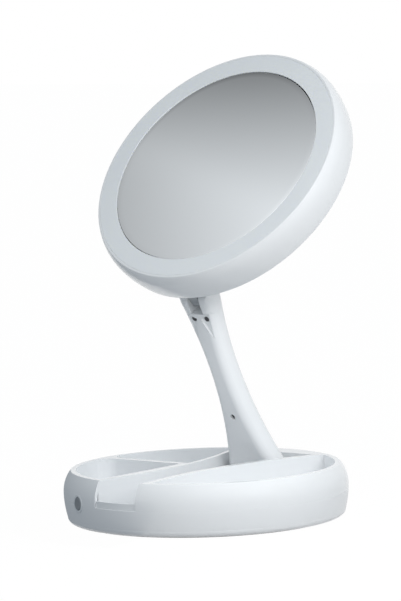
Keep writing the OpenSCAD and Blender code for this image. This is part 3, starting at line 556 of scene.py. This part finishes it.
class Workpiece:
    """A mesh that is turned, cut and rounded, then handed over as one piece."""

    sharp_angle = math.radians(38)
    flat_angle = math.radians(0.2)
    soft_steps = 2

    def __init__(self) -> None:
        """Starts with an empty mesh."""
        self.bm = bmesh.new()

    @classmethod
    def from_node(cls, node: str) -> "Workpiece":
        """Starts with a merged copy of a CAD node, its flat faces made whole."""
        piece = cls()
        piece.bm.from_mesh(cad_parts[node].data)
        bmesh.ops.remove_doubles(piece.bm, verts=piece.bm.verts, dist=WELD)
        bmesh.ops.dissolve_limit(
            piece.bm,
            angle_limit=cls.flat_angle,
            verts=piece.bm.verts,
            edges=piece.bm.edges,
            use_dissolve_boundaries=False,
            delimit=set(),
        )
        return piece

    @classmethod
    def turned(cls, profile: Sequence[Point2], steps: int = 224, closed: bool = False) -> "Workpiece":
        """Turns a profile of (radius, height) points about Z.

        Args:
            profile: The points in millimetres.
            steps: Number of sides.
            closed: Whether the profile's last point joins its first.

        Returns:
            The workpiece.
        """
        piece = cls()
        spin(piece.bm, [(r * MM, 0, z * MM) for r, z in profile], math.tau, steps, closed)
        bmesh.ops.remove_doubles(piece.bm, verts=piece.bm.verts, dist=WELD / 10)
        bmesh.ops.recalc_face_normals(piece.bm, faces=piece.bm.faces)
        return piece

    @classmethod
    def plug(cls, radius: float, low: float, high: float, steps: int) -> "Workpiece":
        """Makes a round plug about Z between two heights, in millimetres."""
        return cls.turned([(0, low), (radius, low), (radius, high), (0, high)], steps)

    @classmethod
    def block(cls, low: Sequence[float], high: Sequence[float]) -> "Workpiece":
        """Makes a block between two corners, in millimetres."""
        piece = cls()
        size = [(b - a) * MM for a, b in zip(low, high)]
        middle = [(a + b) / 2 * MM for a, b in zip(low, high)]
        place = Matrix.Translation(middle) @ Matrix.Diagonal((*size, 1))
        bmesh.ops.create_cube(piece.bm, size=1, matrix=place)
        return piece

    def soften(self, width: float, angle: float = 30) -> "Workpiece":
        """Rounds the sharp edges.

        Args:
            width: Width of the rounding in millimetres.
            angle: Edges that turn by more than this, in degrees, are rounded.

        Returns:
            The workpiece.
        """
        limit = math.radians(angle)
        edges = [e for e in self.bm.edges if e.is_manifold and e.calc_face_angle(0) > limit]
        return self._bevel(edges, width, self.soft_steps)

    def round_rings(self, rings: Iterable[Rounding]) -> "Workpiece":
        """Rounds circular edges of a turned piece."""
        for ring in rings:
            edges = [e for e in self.bm.edges if all(self._on_ring(v, ring) for v in e.verts)]
            self._bevel(edges, ring.width, ring.segments)
        return self

    @staticmethod
    def _on_ring(vert: bmesh.types.BMVert, ring: Rounding) -> bool:
        """Whether a vertex lies on a circular edge."""
        radius = math.hypot(vert.co.x, vert.co.y)
        near = abs(radius - ring.radius * MM) < RING_TOLERANCE
        return near and abs(vert.co.z - ring.height * MM) < RING_TOLERANCE

    def _bevel(self, edges: list[bmesh.types.BMEdge], width: float, segments: int) -> "Workpiece":
        """Bevels edges by a width in millimetres."""
        if edges:
            bmesh.ops.bevel(
                self.bm,
                geom=edges,
                offset=width * MM,
                offset_type="OFFSET",
                segments=segments,
                profile=0.5,
                affect="EDGES",
                clamp_overlap=True,
                loop_slide=True,
                material=-1,
            )
        return self

    def moved(self, matrix: Matrix) -> "Workpiece":
        """Moves the mesh by a matrix."""
        bmesh.ops.transform(self.bm, matrix=matrix, verts=self.bm.verts)
        return self

    def joined(self, other: "Workpiece") -> "Workpiece":
        """Takes in another workpiece's mesh as a separate shell."""
        mesh = bpy.data.meshes.new("joining")
        other.bm.to_mesh(mesh)
        self.bm.from_mesh(mesh)
        bpy.data.meshes.remove(mesh)
        return self

    def cut_by(self, cutter: "Workpiece") -> "Workpiece":
        """Cuts another workpiece out of this one."""
        body = self._loose_object("body")
        tool = cutter._loose_object("tool")
        modifier = body.modifiers.new("cut", "BOOLEAN")
        modifier.operation = "DIFFERENCE"
        modifier.solver = "EXACT"
        modifier.object = tool
        bpy.context.view_layer.update()
        graph = bpy.context.evaluated_depsgraph_get()
        mesh = bpy.data.meshes.new_from_object(body.evaluated_get(graph))
        self.bm.clear()
        self.bm.from_mesh(mesh)
        for item in (body, tool):
            data = item.data
            bpy.data.objects.remove(item)
            bpy.data.meshes.remove(data)
        bpy.data.meshes.remove(mesh)
        return self

    def _loose_object(self, name: str) -> bpy.types.Object:
        """Makes a linked object of the mesh as it stands."""
        mesh = bpy.data.meshes.new(name)
        self.bm.to_mesh(mesh)
        item = bpy.data.objects.new(name, mesh)
        bpy.context.scene.collection.objects.link(item)
        return item

    def hand_over(
        self,
        name: str,
        body: Body,
        slot: str,
        finish: bpy.types.Material,
        stands_for: Sequence[str] = (),
        skin: TurnedSkin | None = None,
    ) -> bpy.types.Object:
        """Makes the finished object and ties it to the frame.

        Args:
            name: The piece's name.
            body: The body it rides on.
            slot: The record's material slot; not used.
            finish: Its material.
            stands_for: The CAD nodes that it replaces.
            skin: The drawn wall that its shading follows, or None.

        Returns:
            The object.
        """
        for face in self.bm.faces:
            face.smooth = True
        for edge in self.bm.edges:
            edge.smooth = edge.is_manifold and edge.calc_face_angle(0) < self.sharp_angle
        mesh = bpy.data.meshes.new(name)
        self.bm.to_mesh(mesh)
        self.bm.free()
        item = bpy.data.objects.new(name, mesh)
        bpy.context.scene.collection.objects.link(item)
        mesh.materials.append(finish)
        weighting = item.modifiers.new("face weights", "WEIGHTED_NORMAL")
        weighting.keep_sharp = True
        if skin:
            bpy.context.view_layer.update()
            graph = bpy.context.evaluated_depsgraph_get()
            item.data = bpy.data.meshes.new_from_object(item.evaluated_get(graph))
            item.modifiers.remove(weighting)
            bpy.data.meshes.remove(mesh)
            mesh = item.data
            mesh.name = name
            skin.smooth_over(mesh)
        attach(item, body.value)
        if stands_for:
            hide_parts(*stands_for)
        LOG.info("%s: %d faces on %s", name, len(mesh.polygons), body.value)
        return item


KEPT_NODES: dict[str, tuple[str, ...]] = {
    "steel": (
        "battery_springs", "battery_contacts", "power_inlet", "hinge_axle_left",
        "hinge_sleeve_right", "friction_washers", "head_pivot_pin", "pivot_washers",
    ),
    "cell": ("battery_cells",),
    "board": ("control_board", "inlet_board"),
    "black_plastic": ("switch_module",),
    "jacket": ("base_lead", "arm_lead", "head_lead"),
    "zinc": (
        "base_screws", "hinge_bracket_left", "hinge_bracket_right", "bracket_screws", "lug_screws",
        "head_screws",
    ),
    "dark_steel": ("arm_screws",),
    "ivory": ("hinge_bushes",),
    "foam": ("adhesive_pad",),
    "lower_white": ("mirror_carrier",),
    "lamp_board": ("led_board",),
    "phosphor": ("led_chips",),
}


def dress_nodes(finishes: Finishes) -> None:
    """Gives the CAD nodes that keep their shape a finish."""
    for finish, nodes in KEPT_NODES.items():
        for node in nodes:
            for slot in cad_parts[node].material_slots:
                slot.material = getattr(finishes, finish)
            LOG.info("%s: CAD shape kept", node)


@dataclass
class TrayBase:
    """The round base: shells, foot ring, button and battery doors."""

    finishes: Finishes
    layout: Layout = LAYOUT
    edge_round: float = 0.45
    seam_round: float = 0.25
    door_round: float = 0.2
    foot_r: float = 80.7
    foot_w: float = 3.0
    foot_top: float = 1.6
    button_r: float = 4.0
    bezel_r: float = 5.6
    bezel_proud: float = 0.2
    cap_proud: float = 0.5
    flange_w: float = 0.7
    button_gap: float = 0.15
    wall: float = 2.4
    pocket_r: float = 81.8
    pocket_floor: float = 18.8
    divider_front: float = -1.9
    divider_back: float = 2.7
    corner_r: float = 9.0

    def build(self) -> None:
        """Builds the whole base."""
        self.shells()
        self.foot_ring()
        self.button()
        self.doors()

    def shells(self) -> None:
        """Builds the tray and the lower shell, with rounded rims and a fine seam."""
        tray = Workpiece.from_node("base_top").soften(self.edge_round)
        tray.joined(self.pocket_corner(self.divider_front, -1))
        tray.joined(self.pocket_corner(self.divider_back, 1))
        skin = TurnedSkin()
        tray.hand_over("tray_shell", Body.BASE, "shell", self.finishes.white, ["base_top"], skin)
        lower = Workpiece.from_node("base_bottom").soften(self.seam_round)
        lower.hand_over(
            "lower_shell", Body.BASE, "lower_shell", self.finishes.lower_white, ["base_bottom"], skin
        )

    def pocket_corner(self, divider: float, side: int) -> Workpiece:
        """Makes the hollow rounding where the left divider meets the round wall.

        Args:
            divider: Place of the divider's face along Y.
            side: The side of the face that the pocket lies on, -1 or 1.

        Returns:
            The rounding.
        """
        away = divider + side * self.corner_r
        tangent = self.pocket_r / (self.pocket_r - self.corner_r)
        centre_x = -math.sqrt((self.pocket_r - self.corner_r) ** 2 - away**2)
        low, high = sorted((divider - side * 0.2, away * tangent))
        top = self.layout.base_h - 0.05
        fill = Workpiece.block(
            (-self.pocket_r - 0.4, low, self.pocket_floor - 0.2), (centre_x, high, top)
        )
        hollow = Workpiece.plug(self.corner_r, self.pocket_floor - 1, top + 1, 96)
        return fill.cut_by(hollow.moved(Matrix.Translation((centre_x * MM, away * MM, 0))))

    def foot_ring(self) -> None:
        """Turns the rubber foot ring with its rounded underside."""
        inner = self.foot_r - self.foot_w / 2
        outer = self.foot_r + self.foot_w / 2
        profile = [(inner, 0), (outer, 0), (outer, self.foot_top), (inner, self.foot_top)]
        ring = Workpiece.turned(profile, closed=True)
        ring.round_rings([Rounding(inner, 0, 0.4), Rounding(outer, 0, 0.4)])
        ring.hand_over("rubber_foot_ring", Body.BASE, "foot", self.finishes.rubber, ["foot_ring"])

    def button(self) -> None:
        """Turns the bezel and the dished button cap."""
        wall = self.layout.base_r - self.wall
        face = self.layout.base_r + self.bezel_proud
        hole = self.button_r + self.button_gap
        bezel = Workpiece.turned(
            [(hole, wall), (self.bezel_r, wall), (self.bezel_r, face), (hole, face)], 96, closed=True
        )
        bezel.round_rings([Rounding(self.bezel_r, face, 0.35), Rounding(hole, face, 0.3)])
        bezel.moved(self.layout.button_frame())
        bezel.hand_over("button_bezel_ring", Body.BASE, "bezel", self.finishes.bezel_white, ["button_bezel"])
        cap_face = self.layout.base_r + self.cap_proud
        flange_r = self.button_r + self.flange_w
        flange_face = wall - 0.3
        cap = Workpiece.turned(
            [
                (0, flange_face - 1),
                (flange_r, flange_face - 1),
                (flange_r, flange_face),
                (self.button_r, flange_face),
                (self.button_r, cap_face - 0.05),
                (self.button_r - 0.9, cap_face),
                (self.button_r - 1.6, cap_face - 0.25),
                (0, cap_face - 0.35),
            ],
            72,
        )
        cap.round_rings([Rounding(self.button_r, cap_face - 0.05, 0.25)])
        cap.moved(self.layout.button_frame())
        cap.hand_over("button_cap", Body.BUTTON, "button", self.finishes.button_grey, ["power_button"])

    def doors(self) -> None:
        """Rounds the two battery doors."""
        for side, body in (("left", Body.LEFT_DOOR), ("right", Body.RIGHT_DOOR)):
            node = f"battery_door_{side}"
            door = Workpiece.from_node(node).soften(self.door_round)
            door.hand_over(f"cell_door_{side}", body, "lower_shell", self.finishes.lower_white, [node])


@dataclass
class FoldingArm:
    """The waisted arm, its front cover and its pivot's cap."""

    finishes: Finishes
    shell_round: float = 0.35
    cover_round: float = 0.3
    turn_limit: float = 32.0

    def build(self) -> None:
        """Builds the arm."""
        shell = Workpiece.from_node("arm_shell").soften(self.shell_round, self.turn_limit)
        shell.hand_over("arm_body", Body.ARM, "shell", self.finishes.white, ["arm_shell"])
        cover = Workpiece.from_node("arm_cover").soften(self.cover_round, self.turn_limit)
        cover.hand_over("arm_front_cover", Body.ARM, "shell", self.finishes.white, ["arm_cover"])
        cap = Workpiece.from_node("pivot_cap").soften(0.3)
        cap.hand_over("pivot_plug", Body.ARM, "shell", self.finishes.lower_white, ["pivot_cap"])


@dataclass
class MirrorHead:
    """The round head: shell, frosted light ring, mirror glass and lug."""

    finishes: Finishes
    layout: Layout = LAYOUT
    head_r: float = 88.8
    wide_t: float = 8.6
    front_curve: float = 17.6
    back_curve: float = 49.0
    corner: float = 2.4
    ledge_w: float = 1.4
    wall: float = 2.2
    ring_outer: float = 85.006
    ring_inner: float = 72.906
    ring_t: float = 1.8
    ring_gap: float = 0.06
    skirt_t: float = 1.4
    ledge_t: float = 10.6
    lamp_t: float = 9.0
    mirror_r: float = 72.606
    mirror_t: float = 2.0
    mirror_inset: float = 0.4
    screw_r: float = 66.0
    screw_count: int = 6
    well_r: float = 2.6
    well_t: float = 1.4
    hole_r: float = 1.6
    hole_t: float = 4.0
    face_round: float = 0.45
    seat_round: float = 0.12

    def build(self) -> None:
        """Builds the head."""
        self.shell()
        self.light_ring()
        self.glass()
        lug = Workpiece.from_node("head_lug").soften(0.35)
        lug.hand_over("pivot_lug", Body.HEAD, "lug", self.finishes.grey_plastic, ["head_lug"])

    def shell_profile(self) -> list[Point2]:
        """Gives the shell's section from the axis round the outside and back."""
        back = -self.layout.head_t
        inside = back + self.wall
        back_centre = (self.head_r - self.back_curve, -self.wide_t)
        front_centre = (self.head_r - self.front_curve, -self.wide_t)
        rise = self.layout.head_t - self.corner - self.wide_t
        back_angle = -math.degrees(math.asin(rise / self.back_curve))
        front_angle = math.degrees(math.asin(self.wide_t / self.front_curve))
        back_arc = arc(back_centre, self.back_curve, back_angle, 0, 10)
        front_arc = arc(front_centre, self.front_curve, 0, front_angle, 12)
        corner_r = back_arc[0][0] - self.corner
        corner_arc = arc((corner_r, back + self.corner), self.corner, -90, back_angle, 8)
        lip = self.ring_outer + self.ring_gap
        ledge = self.ring_outer - self.ledge_w
        inner = [(lip, 0), (lip, -self.ledge_t), (ledge, -self.ledge_t), (ledge, inside), (0, inside)]
        flat = [(0, back), (corner_r - 6, back), (corner_r - 0.6, back)]
        return flat + corner_arc[:-1] + back_arc + front_arc[1:] + inner

    def shell(self) -> None:
        """Turns the shell, cuts its screw wells and rounds its front lip."""
        shell = Workpiece.turned(self.shell_profile())
        face_r = self.head_r - self.front_curve + math.sqrt(self.front_curve**2 - self.wide_t**2)
        seat_r = self.ring_outer + self.ring_gap
        shell.round_rings([Rounding(face_r, 0, self.face_round), Rounding(seat_r, 0, self.seat_round)])
        back = -self.layout.head_t
        for index in range(self.screw_count):
            angle = math.tau * index / self.screw_count
            place = Matrix.Translation(
                (self.screw_r * MM * math.cos(angle), self.screw_r * MM * math.sin(angle), 0)
            )
            well = Workpiece.plug(self.well_r, back - 1, back + self.well_t, 40)
            hole = Workpiece.plug(self.hole_r, back + 1, back + self.hole_t, 32)
            shell.cut_by(well.moved(place)).cut_by(hole.moved(place))
        shell.moved(self.layout.head_frame())
        shell.hand_over("head_housing", Body.HEAD, "shell", self.finishes.white, ["head_shell"])

    def light_ring(self) -> None:
        """Turns the frosted ring with its two skirts."""
        deep = -self.lamp_t
        inner_skirt = self.ring_inner + self.skirt_t
        outer_skirt = self.ring_outer - self.skirt_t
        ring = Workpiece.turned(
            [
                (self.ring_inner, 0),
                (self.ring_inner, deep),
                (inner_skirt, deep),
                (inner_skirt, -self.ring_t),
                (outer_skirt, -self.ring_t),
                (outer_skirt, deep),
                (self.ring_outer, deep),
                (self.ring_outer, 0),
            ],
            closed=True,
        )
        ring.round_rings([Rounding(self.ring_inner, 0, 0.3), Rounding(self.ring_outer, 0, self.seat_round)])
        ring.moved(self.layout.head_frame())
        ring.hand_over("frosted_ring", Body.HEAD, "diffuser", self.finishes.frosted, ["light_ring"])

    def glass(self) -> None:
        """Turns the mirror glass with its ground edge."""
        front = -self.mirror_inset
        back = front - self.mirror_t
        glass = Workpiece.turned(
            [(0, back), (self.mirror_r, back), (self.mirror_r, front), (self.mirror_r - 4, front), (0, front)]
        )
        glass.round_rings([Rounding(self.mirror_r, front, 0.3, 2), Rounding(self.mirror_r, back, 0.2, 1)])
        glass.moved(self.layout.head_frame())
        glass.hand_over("mirror_disc", Body.HEAD, "mirror", self.finishes.mirror, ["mirror_glass"])


@dataclass(frozen=True)
class Softbox:
    """A square lamp behind a diffuser, in degrees, metres and watts."""

    name: str
    azimuth: float
    elevation: float
    distance: float
    size: float
    power: float
    aim: tuple[float, float, float] = (0.0, 0.0, 0.15)

    def hang(self) -> None:
        """Hangs the lamp, turned to the point that it is aimed at."""
        azimuth = math.radians(self.azimuth)
        height = math.radians(self.elevation)
        towards = Vector(
            (math.cos(azimuth) * math.cos(height), math.sin(azimuth) * math.cos(height), math.sin(height))
        )
        data = bpy.data.lights.new(self.name, "AREA")
        data.shape = "SQUARE"
        data.size = self.size
        data.energy = self.power
        item = bpy.data.objects.new(self.name, data)
        bpy.context.scene.collection.objects.link(item)
        turn = towards.to_track_quat("Z", "Y").to_matrix().to_4x4()
        item.matrix_world = Matrix.Translation(Vector(self.aim) + towards * self.distance) @ turn
        item.visible_glossy = False
        item.visible_camera = False


def reckon(
    tree: bpy.types.NodeTree, operation: str, *values: bpy.types.NodeSocket | float
) -> bpy.types.NodeSocket:
    """Gives the result of a maths node, from sockets and plain numbers."""
    node = tree.nodes.new("ShaderNodeMath")
    node.operation = operation
    for socket, value in zip(node.inputs, values):
        if isinstance(value, float):
            socket.default_value = value
        else:
            tree.links.new(value, socket)
    return node.outputs["Value"]


@dataclass
class Studio:
    """The pale floor, the lamps, the world and the camera."""

    layout: Layout = LAYOUT
    look_at: tuple[float, float, float] = (0.0, 0.0, 0.15)
    azimuth: float = 39.62
    elevation: float = 4.98
    distance: float = 2.401
    roll: float = 1.93
    pan: float = 0.01
    tilt: float = 0.29
    focal_pixels: float = 3820.0
    long_side: float = 601.0
    sensor: float = 36.0
    fill: float = 0.5
    fill_tone: Colour = (0.88, 0.95, 1.0)
    floor_reach: float = 6.0
    floor_drop: float = 0.0002
    paper: float = 0.6
    floor_glow: float = 0.965
    glow_strength: float = 1.02
    softboxes: tuple[Softbox, ...] = (
        Softbox("key", -8.0, 20.0, 0.7, 0.35, 1.5),
        Softbox("front", -45.0, 35.0, 0.9, 0.6, 2.1),
        Softbox("tray_lamp", -30.5, 66.3, 0.0983, 0.08, 0.018, (0.028, -0.015, 0.02)),
    )
    flags: tuple[tuple[float, float, tuple[Point2, ...]], ...] = (
        (-28.0, -180.0, ((0.0885, 0.0003), (0.125, 0.0003), (0.125, 0.03))),
        (-50.0, -135.0, ((0.125, 0.03), (0.2, 0.16))),
    )
    flag_tone: Colour = (0.30, 0.33, 0.36)
    flag_steps: int = 24
    card_reach: float = 0.42
    card_size: float = 0.5
    card_tone: Colour = (0.93, 0.97, 1.0)
    card_ramps: tuple[tuple[str, float, float], ...] = (("Y", -6.8, 0.72), ("X", 3.5, 0.72))
    card_blend: float = 0.12

    def build(self) -> None:
        """Sets up the whole studio."""
        self.camera()
        self.floor()
        self.world()
        self.lamps()
        self.grey_flags()
        self.mirror_card()
        bpy.context.scene.view_settings.view_transform = "Standard"

    def axes(self) -> tuple[Vector, Vector, Vector]:
        """Gives the camera's right, up and back directions before its small turns."""
        a = math.radians(self.azimuth)
        e = math.radians(self.elevation)
        back = Vector((math.sin(a) * math.cos(e), -math.cos(a) * math.cos(e), math.sin(e)))
        right = Vector((math.cos(a), math.sin(a), 0))
        return right, back.cross(right), back

    def camera(self) -> None:
        """Makes the camera at the photograph's viewing angle."""
        data = bpy.data.cameras.new("camera")
        data.sensor_width = self.sensor
        data.lens = self.focal_pixels / self.long_side * self.sensor
        data.clip_start = 0.1
        data.clip_end = 20
        item = bpy.data.objects.new("camera", data)
        bpy.context.scene.collection.objects.link(item)
        right, up, back = self.axes()
        rows = Matrix((right, up, back))
        small = (
            Matrix.Rotation(math.radians(self.roll), 3, "Z")
            @ Matrix.Rotation(math.radians(self.pan), 3, "Y")
            @ Matrix.Rotation(math.radians(self.tilt), 3, "X")
        )
        turn = (small @ rows).transposed().to_4x4()
        place = Vector(self.look_at) + back * self.distance
        item.matrix_world = Matrix.Translation(place) @ turn
        bpy.context.scene.camera = item

    def staged(self, name: str, bm: bmesh.types.BMesh, material: bpy.types.Material) -> bpy.types.Object:
        """Makes a piece of the studio from a mesh.

        Args:
            name: The piece's name.
            bm: Its mesh, which is freed.
            material: Its material.

        Returns:
            The object.
        """
        mesh = bpy.data.meshes.new(name)
        bm.to_mesh(mesh)
        bm.free()
        mesh.materials.append(material)
        item = bpy.data.objects.new(name, mesh)
        bpy.context.scene.collection.objects.link(item)
        return item

    @staticmethod
    def bare_tree(owner: bpy.types.Material | bpy.types.World) -> bpy.types.NodeTree:
        """Gives a material's or world's node tree, emptied."""
        owner.use_nodes = True
        owner.node_tree.nodes.clear()
        return owner.node_tree

    @staticmethod
    def seen_share(tree: bpy.types.NodeTree, share: float) -> bpy.types.NodeSocket:
        """Gives a share for camera, glossy and transmission rays, and nothing for others."""
        path = tree.nodes.new("ShaderNodeLightPath").outputs
        bent = reckon(tree, "MAXIMUM", path["Is Glossy Ray"], path["Is Transmission Ray"])
        seen = reckon(tree, "MAXIMUM", path["Is Camera Ray"], bent)
        return reckon(tree, "MULTIPLY", seen, share)

    def split_view(
        self,
        tree: bpy.types.NodeTree,
        output: str,
        share: float,
        lit: bpy.types.NodeSocket,
        seen: bpy.types.NodeSocket,
    ) -> None:
        """Joins two shaders to a new output.

        Args:
            tree: The node tree.
            output: The output node's type.
            share: How much of the second shader is seen.
            lit: The shader for rays that carry light about.
            seen: The shader for the camera and for reflections.
        """
        mix = tree.nodes.new("ShaderNodeMixShader")
        tree.links.new(self.seen_share(tree, share), mix.inputs["Fac"])
        tree.links.new(lit, mix.inputs[1])
        tree.links.new(seen, mix.inputs[2])
        tree.links.new(mix.outputs["Shader"], tree.nodes.new(output).inputs["Surface"])

    def glowing(
        self, name: str, tone: Colour
    ) -> tuple[bpy.types.Material, bpy.types.ShaderNodeEmission]:
        """Gives a card's material, which only glows, and its emission node."""
        material = bpy.data.materials.new(name)
        tree = self.bare_tree(material)
        output = tree.nodes.new("ShaderNodeOutputMaterial")
        glow = tree.nodes.new("ShaderNodeEmission")
        glow.inputs["Color"].default_value = (*tone, 1)
        tree.links.new(glow.outputs["Emission"], output.inputs["Surface"])
        return material, glow

    def floor(self) -> None:
        """Lays the pale floor, which shows white and keeps a soft shadow."""
        bm = bmesh.new()
        bmesh.ops.create_grid(bm, x_segments=1, y_segments=1, size=self.floor_reach)
        bmesh.ops.translate(bm, verts=bm.verts, vec=(0, 0, -self.floor_drop))
        material = bpy.data.materials.new("studio_floor")
        tree = self.bare_tree(material)
        paper = tree.nodes.new("ShaderNodeBsdfDiffuse")
        paper.inputs["Color"].default_value = (self.paper, self.paper, self.paper, 1)
        glow = tree.nodes.new("ShaderNodeEmission")
        glow.inputs["Strength"].default_value = self.glow_strength
        sockets = paper.outputs["BSDF"], glow.outputs["Emission"]
        self.split_view(tree, "ShaderNodeOutputMaterial", self.floor_glow, *sockets)
        self.staged("floor", bm, material)

    def world(self) -> None:
        """Makes the world white to look at and a soft even fill for the object."""
        world = bpy.data.worlds.new("studio")
        bpy.context.scene.world = world
        tree = self.bare_tree(world)
        fill = tree.nodes.new("ShaderNodeBackground")
        fill.inputs["Color"].default_value = (*self.fill_tone, 1)
        fill.inputs["Strength"].default_value = self.fill
        backdrop = tree.nodes.new("ShaderNodeBackground")
        backdrop.inputs["Color"].default_value = (1, 1, 1, 1)
        sockets = fill.outputs["Background"], backdrop.outputs["Background"]
        self.split_view(tree, "ShaderNodeOutputWorld", 1.0, *sockets)

    def lamps(self) -> None:
        """Hangs the softboxes."""
        for softbox in self.softboxes:
            softbox.hang()

    def grey_flags(self) -> None:
        """Stands curved grey cards low on the left, which keep that side in shade.

        Each one is a section of (radius, height) points in metres, turned about Z
        between two angles that are counted from the camera's direction.
        """
        bm = bmesh.new()
        for first, last, section in self.flags:
            start = math.radians(self.azimuth - 90 + first)
            points = [(r * math.cos(start), r * math.sin(start), z) for r, z in section]
            spin(bm, points, math.radians(last - first), self.flag_steps)
        material, _ = self.glowing("grey_card", self.flag_tone)
        flags = self.staged("grey_flags", bm, material)
        flags.visible_camera = False

    def mirror_card(self) -> None:
        """Stands a toned card where the mirror sees it, dark above and light below."""
        head = self.layout.head_frame()
        normal = (head.to_3x3() @ Vector((0, 0, 1))).normalized()
        right, up, back = self.axes()
        seen = 2 * normal.dot(back) * normal - back
        across = right - 2 * right.dot(normal) * normal
        high = up - 2 * up.dot(normal) * normal
        turn = Matrix((across, high, across.cross(high))).transposed().to_4x4()
        bm = bmesh.new()
        bmesh.ops.create_grid(bm, x_segments=1, y_segments=1, size=self.card_size / 2)
        material, glow = self.glowing("toned_card", self.card_tone)
        tree = material.node_tree
        coordinate = tree.nodes.new("ShaderNodeTexCoord")
        axes = tree.nodes.new("ShaderNodeSeparateXYZ")
        tree.links.new(coordinate.outputs["Object"], axes.inputs["Vector"])
        spread = (self.distance + self.card_reach) / self.distance
        tones = [
            reckon(tree, "MULTIPLY_ADD", axes.outputs[axis], slope / spread, level)
            for axis, slope, level in self.card_ramps
        ]
        tree.links.new(reckon(tree, "SMOOTH_MIN", *tones, self.card_blend), glow.inputs["Strength"])
        card = self.staged("toned_card", bm, material)
        card.matrix_world = Matrix.Translation(head.translation + seen * self.card_reach) @ turn
        card.visible_camera = False
        card.visible_diffuse = False
        card.visible_shadow = False


def main() -> None:
    """Builds the studio and the mirror's sub-assemblies in order."""
    logging.basicConfig(level=logging.INFO, format="%(name)s: %(message)s")
    Studio().build()
    finishes = Finishes()
    for assembly in (TrayBase(finishes), FoldingArm(finishes), MirrorHead(finishes)):
        assembly.build()
        LOG.info("%s is built", type(assembly).__name__)
    dress_nodes(finishes)


if __name__ == "__main__":
    main()
